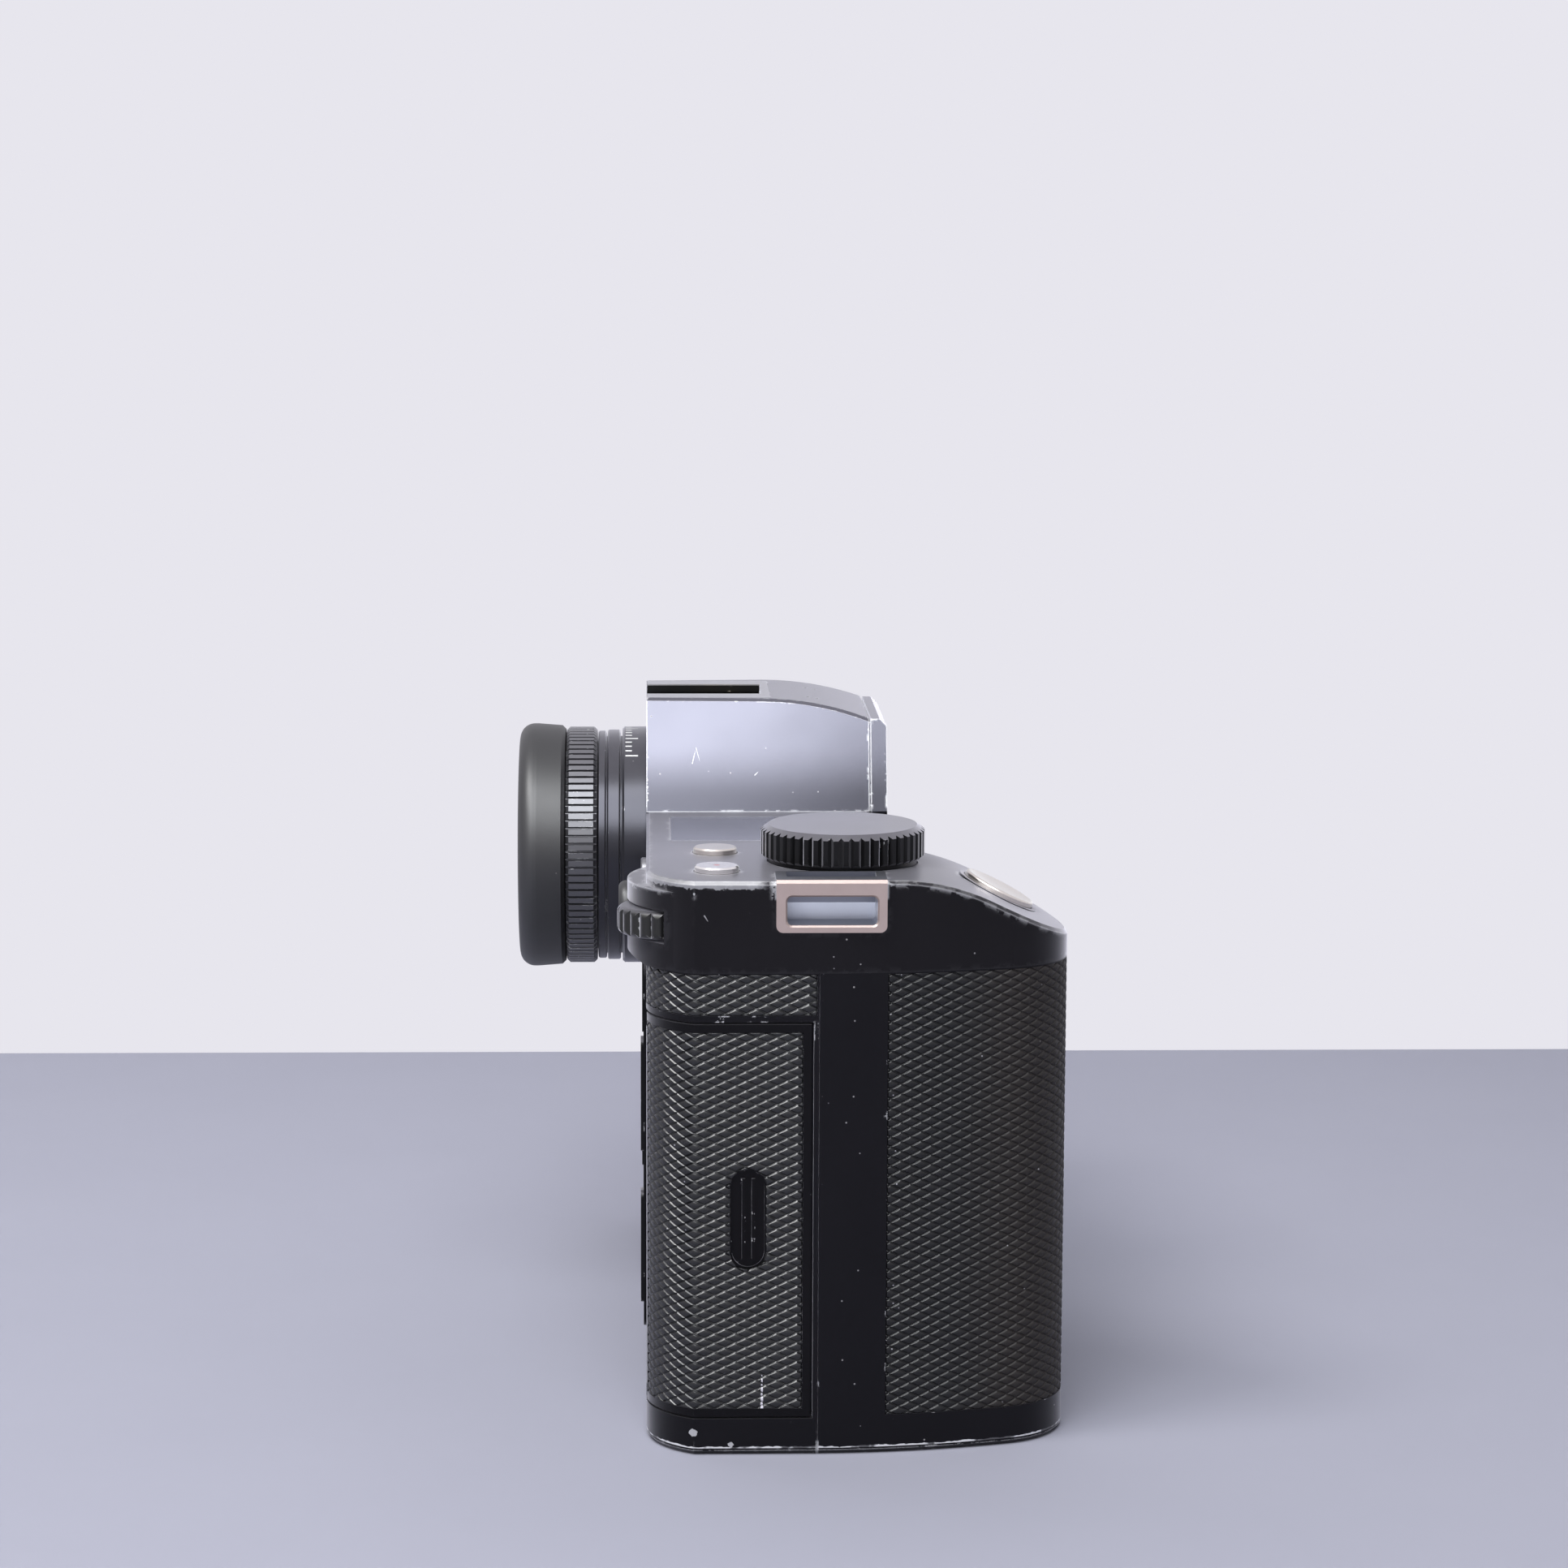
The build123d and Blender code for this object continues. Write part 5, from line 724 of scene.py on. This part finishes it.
def end_band(s):
    """The broad worn band along the rear half of the end face's upper edge."""
    along = s.fit(s.axis("Y"), depth_y(BAND_DEPTH) * MM, depth_y(BAND_DEPTH - 2) * MM)
    corner = mm(REAR_CORNER - GRIP_END, REAR_Y - REAR_CORNER_RADIUS, 0)
    flat = s.add("VectorMath", {0: s.place, 1: (1, 1, 0)}, operation="MULTIPLY").outputs[0]
    away = s.add("VectorMath", {0: flat, 1: corner}, operation="DISTANCE").outputs["Value"]
    outside = s.math("GREATER_THAN", away, (REAR_CORNER_RADIUS - CORNER_BAND) * MM)
    in_corner = s.math("MULTIPLY", s.math("LESS_THAN", s.axis("X"), corner.x),
                       s.math("GREATER_THAN", s.axis("Y"), depth_y(CREASE_DEPTH + 1) * MM))
    round_corner = s.math("MULTIPLY", outside, in_corner)
    end = s.math("MAXIMUM", s.math("LESS_THAN", s.axis("X"), (1.0 - GRIP_END) * MM), round_corner)
    foot = s.blend(s.noise(1.3, 5, 0.7), (SHOULDER - 0.2) * MM, (SHOULDER - BAND_TALL) * MM)
    high = s.math("GREATER_THAN", s.axis("Z"), foot)
    return s.math("MULTIPLY", s.math("MULTIPLY", s.math("MULTIPLY", along, end), high), BAND_SHARE)


def end_less_dust_and_sheen(s):
    """The plate carries less dust and painted sheen towards its grip end."""
    return s.fit(s.axis("X"), *((reach - GRIP_END) * MM for reach in FILM_REACH), 0.3, 1.0)


def rail_tops(s):
    """The hot shoe's rails, bare on top."""
    high = s.math("GREATER_THAN", s.axis("Z"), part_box("hot_shoe")[1].z - 0.2 * MM)
    return s.math("MULTIPLY", high, RAIL_SHARE)


def hump_crown(s):
    """A slight swell of the hump's sides, as height over the flat."""
    up = s.math("DIVIDE", s.math("SUBTRACT", s.axis("Z"), HUMP_MIDDLE * MM), HUMP_HALF * MM)
    return s.math("MULTIPLY", s.math("MULTIPLY", up, up), -HUMP_SWELL)


def dress_nodes():
    """Every CAD node's own finish."""
    black = worn_black("shell_black", shade=(0.018, 0.0175, 0.020), wear=0.6, width=0.5, dust=0.03,
                       bloom=0.4, marks=SHELL_MARKS, bands=(foot_band,), where=foot_rim)
    door = worn_black("door_black", wear=0.12, width=0.16, dust=0.02, bloom=0.5)
    top = worn_black("top_black", shade=(0.020, 0.019, 0.021), rough=0.28, wear=1.0, width=0.8,
                     dust_and_sheen=0.26, marks=TOP_MARKS, scratches=TOP_SCRATCHES, bands=(end_band,),
                     where=upper_rims, less_dust_and_sheen=end_less_dust_and_sheen)
    hump = worn_black("hump_black", shade=(0.125, 0.125, 0.150), rough=0.27, wear=0.8, width=0.3,
                      scratches=HUMP_SCRATCHES, where=hump_rims, crown=hump_crown, painted_fade=hump_painted_shade)
    tab = worn_black("tab_black", shade=(0.30, 0.30, 0.31), wear=0.4, width=0.2)
    dial = worn_black("dial_black", shade=(0.020, 0.020, 0.0205), rough=0.28, wear=0.15, width=0.12,
                      dust=0.1, dust_and_sheen=0.27)
    rings = worn_black("ring_black", shade=(0.050, 0.050, 0.058), rough=0.28, wear=0.22, width=0.12)
    knurl = worn_black("knurl_black", shade=(0.14, 0.14, 0.148), rough=0.38, wear=0.3, width=0.12,
                       bloom=0.3)
    wheel = worn_black("wheel_black", shade=(0.045, 0.045, 0.043), rough=0.42, wear=0.45, width=0.25)
    base = worn_black("base_black", wear=0.6, width=0.4)
    shoe = worn_black("shoe_black", shade=(0.03, 0.03, 0.03), wear=0.2, dust_and_sheen=0.0, bands=(rail_tops,))
    coat(black, "rear_shell", "front_shell", "upper_port_door", "lower_port_door", "rear_panel",
         "eyepiece_tube", "eyepiece_lens_cell", "light_chamber")
    coat(door, "card_door")
    coat(top, "top_plate")
    coat(hump, "viewfinder_cover", "hump_front_plate")
    coat(base, "base_plate")
    coat(dial, "top_dial", "power_lever", "left_upper_bar_button", "left_lower_bar_button",
         "right_upper_bar_button", "right_lower_bar_button", "shutter_collar")
    coat(shoe, "hot_shoe")
    coat(tab, "eyepiece_button")
    coat(rings, "eyepiece_barrel")
    coat(knurl, "dioptre_ring")
    coat(wheel, "thumb_wheel")
    coat(rubber_black("rubber"), "eyecup", "thumb_stick")
    coat(plastic_black("plastic"), "battery_chamber", "card_sockets", "connector_panel",
         "viewfinder_module", "sensor_block", "shutter_frame", "thumb_stick_plunger", "battery")
    lug = steel("champagne_steel", (0.50, 0.40, 0.365), (0.60, 0.49, 0.45), 0.38,
                inner=(0.25, 0.262, 0.31, 1))
    satin = steel("satin_steel", (0.5, 0.49, 0.47), (0.66, 0.65, 0.62), 0.26)
    disc = steel("bright_disc", (0.72, 0.665, 0.61), (0.80, 0.745, 0.69), 0.28, depth=0.0,
                 spread=0.03, bloom=0.8)
    dotted = steel("dotted_disc", (0.88, 0.85, 0.83), (0.96, 0.93, 0.92), 0.24, depth=0.0,
                   spread=0.03, bloom=0.8, dot=True)
    coat(lug, "strap_lugs")
    coat(satin, "lens_mount_ring", "mount_screws", "thumb_wheel_axle", "card_door_slide",
         "battery_catch", "tripod_socket", "thumb_stick_gimbal", "lens_lock_pin")
    coat(disc, "shutter_button", "top_function_button", "lens_release_button")
    coat(dotted, "video_button")
    pin_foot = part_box("lens_contacts")[0].y + LENS_PIN_TALL * MM
    pad_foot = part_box("shoe_contacts")[1].z - SHOE_PAD_TALL * MM
    coat(contact_block("lens_pins", "Y", pin_foot, -1), "lens_contacts")
    coat(contact_block("shoe_pads", "Z", pad_foot, 1), "shoe_contacts")
    coat(dark_glass("display_glass", (0.012, 0.014, 0.02)), "rear_display")
    # The top display's own grey-blue, lightened as a painted reflection of what its glass faces
    coat(dark_glass("panel_glass_with_painted_reflection", (0.10, 0.10, 0.13), 0.14), "top_display")
    coat(lens_glass("lens_glass"), "eyepiece_lens", "focus_lamp")
    coat(dark_glass("sensor_cover", (0.03, 0.05, 0.05)), "sensor_glass")
    coat(circuit_green("circuit"), "main_board")


# Leathers and marks in place


def outside_disc(outline, x, z, radius):
    """Cuts diamonds at a round hole in the front face, which lies at constant Y there."""
    start = outline.length_where(lambda px, py: px > 0 and py < 0)
    x0 = outline.at(start)[0][0]

    def line(s, height):
        du, dz = (s - start + x0) - x, height - z
        far = math.hypot(du, dz) or 1
        normal = (-du / far, -dz / far)
        return normal, normal[0] * (x - x0 + start) + normal[1] * z - radius

    return line


def outside_slot(middle, low, high, radius):
    """Cuts diamonds at an upright slot with round ends."""

    def line(s, z):
        nearest = min(max(z, low), high)
        ds, dz = s - middle, z - nearest
        far = math.hypot(ds, dz) or 1
        normal = (-ds / far, -dz / far)
        return normal, normal[0] * middle + normal[1] * nearest - radius

    return line


def leathers():
    """The four leathers, each in its CAD node's place."""
    outline = Outline(plan_outline())
    door_finish = leather_black("door_leather", DOOR_GLOSS)
    grip_finish = leather_black("grip_leather", GRIP_GLOSS)
    past_crease = depth_y(CREASE_DEPTH) - PAST_CREASE
    crease = outline.length_where(lambda x, y: y < past_crease and x < NEAR_SIDE_X)

    def make(name, node, body, finish, span, heights, holes=()):
        cells = diamond_cells(span, heights, holes, (crease, heights[1]))
        piece = leather_mesh(name, outline, cells)
        piece.data.materials.append(finish)
        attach(piece, body)
        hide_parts(node)

    def heights_of(node):
        low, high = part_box(node)
        return low.z / MM, high.z / MM

    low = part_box("card_door_leather")[0]
    door_start = outline.length_where(lambda x, y: x < DOOR_START_X)
    door_end = outline.length_where(lambda x, y: x < NEAR_END_X and y < low.y / MM)
    finger = outline.length_where(lambda x, y: x < NEAR_END_X and y < depth_y(FINGER_DEPTH))
    recess = outside_slot(finger, FINGER_LOW, FINGER_HIGH, FINGER_RADIUS)
    make("door_leather_diamonds", "card_door_leather", "card_door", door_finish, (door_start, door_end),
         heights_of("card_door_leather"), [recess])
    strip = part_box("end_leather")
    strip_start = outline.length_where(lambda x, y: x < strip[1].x / MM)
    strip_end = outline.length_where(lambda x, y: x < END_STRIP_X and y < strip[0].y / MM)
    make("end_leather_diamonds", "end_leather", "camera_body", door_finish, (strip_start, strip_end),
         heights_of("end_leather"))
    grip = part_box("grip_leather")
    grip_start = outline.length_where(lambda x, y: y < depth_y(GRIP_LEATHER_DEPTH))
    grip_end = outline.length_where(lambda x, y: x > grip[1].x / MM - LEATHER_STEP)
    boss = outside_disc(outline, 0, LENS_Z, MOUNT_BOSS_RADIUS)
    button = (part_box("lens_release_button")[0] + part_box("lens_release_button")[1]) / (2 * MM)
    release = outside_disc(outline, button.x, button.z, RELEASE_ROOM)
    make("grip_leather_diamonds", "grip_leather", "camera_body", grip_finish, (grip_start, grip_end),
         heights_of("grip_leather"), [boss, release])
    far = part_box("far_leather")
    far_start = outline.length_where(lambda x, y: x > far[0].x / MM - FAR_LEATHER_LAP)
    far_end = outline.length_where(lambda x, y: x > FAR_SIDE_X and y > far[1].y / MM - LEATHER_STEP)
    make("far_leather_diamonds", "far_leather", "camera_body", grip_finish, (far_start, far_end),
         heights_of("far_leather"), [boss])


def dioptre_marks():
    """White marks on the eyepiece's flange, some of them long."""
    paint = Shader("mark_white")
    white = paint.mix(paint.noise(0.4), (0.66, 0.66, 0.65, 1), (0.8, 0.8, 0.8, 1))
    finish = paint.finish(base_color=white, roughness=0.5)
    points, faces = [], []
    for i in range(MARK_COUNT):
        length = MARK_LONG if i % MARK_LONG_EVERY == 0 else MARK_SHORT
        turn = math.radians(MARK_FIRST + i * MARK_PITCH)
        half = MARK_WIDE / 2 / MARK_RADIUS
        first = len(points)
        for step in (-half, 0, half):
            x = -MARK_RADIUS * math.sin(turn + step)
            z = EYE_Z + MARK_RADIUS * math.cos(turn + step)
            points += [mm(x, REAR_Y + MARK_REAR, z), mm(x, REAR_Y + MARK_REAR - length, z)]
        faces += [(j, j + 1, j + 3, j + 2) for j in (first, first + 2)]
    marks = single_mesh("dioptre_marks", points, faces, finish)
    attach(marks, "camera_body")


# Camera, light and stage


def photo_camera():
    """The photograph's camera."""
    cp, sp = math.cos(CAMERA_PITCH), math.sin(CAMERA_PITCH)
    cy, sy = math.cos(CAMERA_YAW), math.sin(CAMERA_YAW)
    forward = Vector((cp * cy, -cp * sy, -sp))
    right = Vector((-sy, -cy, 0))
    up = right.cross(forward)
    cr, sr = math.cos(CAMERA_ROLL), math.sin(CAMERA_ROLL)
    side, top = right * cr + up * sr, up * cr - right * sr
    data = bpy.data.cameras.new("photo_camera")
    data.sensor_width = SENSOR
    data.lens = CAMERA_FOCAL / PHOTO_SIDE * SENSOR
    camera = place_in_scene("photo_camera", data)
    turn = Matrix((side, top, -forward)).transposed().to_4x4()
    camera.matrix_world = Matrix.Translation(Vector(CAMERA_PLACE) * MM) @ turn
    bpy.context.scene.camera = camera


def softbox(name, place, size, power, colour):
    """A rectangular lamp that looks at the camera body."""
    data = bpy.data.lights.new(name, "AREA")
    data.shape = "RECTANGLE"
    data.size, data.size_y = size
    data.energy = power
    data.color = colour
    lamp = place_in_scene(name, data)
    lamp.location = place
    lamp.rotation_euler = (Vector(AIM) - Vector(place)).to_track_quat("-Z", "Y").to_euler()


def shown_rays(tree):
    """The rays that show the pale surround: the camera's, and those of gloss and glass."""
    path = tree.nodes.new("ShaderNodeLightPath")
    shown = path.outputs["Is Camera Ray"]
    for ray in ("Is Glossy Ray", "Is Transmission Ray"):
        either = tree.nodes.new("ShaderNodeMath")
        either.operation = "MAXIMUM"
        tree.links.new(shown, either.inputs[0])
        tree.links.new(path.outputs[ray], either.inputs[1])
        shown = either.outputs[0]
    return shown


def floor_pale():
    """A pale floor that goes over into the surround far from the camera body."""
    s = Shader("floor_pale")
    base = s.mix(s.noise(40, 4), *FLOOR_SHADES)
    near = s.add("BsdfPrincipled", {"Base Color": base, "Roughness": 0.8})
    away = s.add("VectorMath", {0: s.place}, operation="LENGTH").outputs["Value"]
    far = s.math("MULTIPLY", shown_rays(s.tree), s.fit(away, *FLOOR_FADE))
    pale = s.add("Emission", {"Color": PALE, "Strength": 1.0})
    return s.output(s.add("MixShader", {0: far, 1: near.outputs[0], 2: pale.outputs[0]}))


def wall_pale():
    """Pale to the camera and in gloss, plain white otherwise, and open from behind."""
    s = Shader("wall_pale")
    plain = s.add("BsdfDiffuse", {"Color": WALL_SHADE})
    pale = s.add("Emission", {"Color": PALE, "Strength": 1.0})
    front = s.add("MixShader", {0: shown_rays(s.tree), 1: plain.outputs[0], 2: pale.outputs[0]})
    clear = s.add("BsdfTransparent")
    behind = s.geometry.outputs["Backfacing"]
    return s.output(s.add("MixShader", {0: behind, 1: front.outputs[0], 2: clear.outputs[0]}))


def stage():
    """The floor, and a wall behind it that shows from its front alone."""
    half = STAGE_HALF
    ground = [(-half, -half, 0), (half, -half, 0), (half, half, 0), (-half, half, 0)]
    wall = [(WALL_X, half, 0), (WALL_X, -half, 0), (WALL_X, -half, half), (WALL_X, half, half)]
    single_mesh("floor", ground, [(0, 1, 2, 3)], floor_pale())
    single_mesh("wall", wall, [(0, 1, 2, 3)], wall_pale())


def lights():
    """Two soft boxes, and an even surround that shows pale."""
    for name, (place, size, power, colour) in LAMPS.items():
        softbox(name, place, size, power, colour)
    world = bpy.data.worlds.new("surround")
    bpy.context.scene.world = world
    world.use_nodes = True
    tree = world.node_tree
    back = tree.nodes["Background"]
    strength = tree.nodes.new("ShaderNodeMath")
    strength.operation = "MAXIMUM"
    strength.inputs[0].default_value = SURROUND
    tree.links.new(shown_rays(tree), strength.inputs[1])
    tree.links.new(strength.outputs[0], back.inputs[1])
    back.inputs[0].default_value = PALE


bpy.context.scene.view_settings.view_transform = "Standard"
photo_camera()
stage()
lights()
dress_nodes()
leathers()
dioptre_marks()
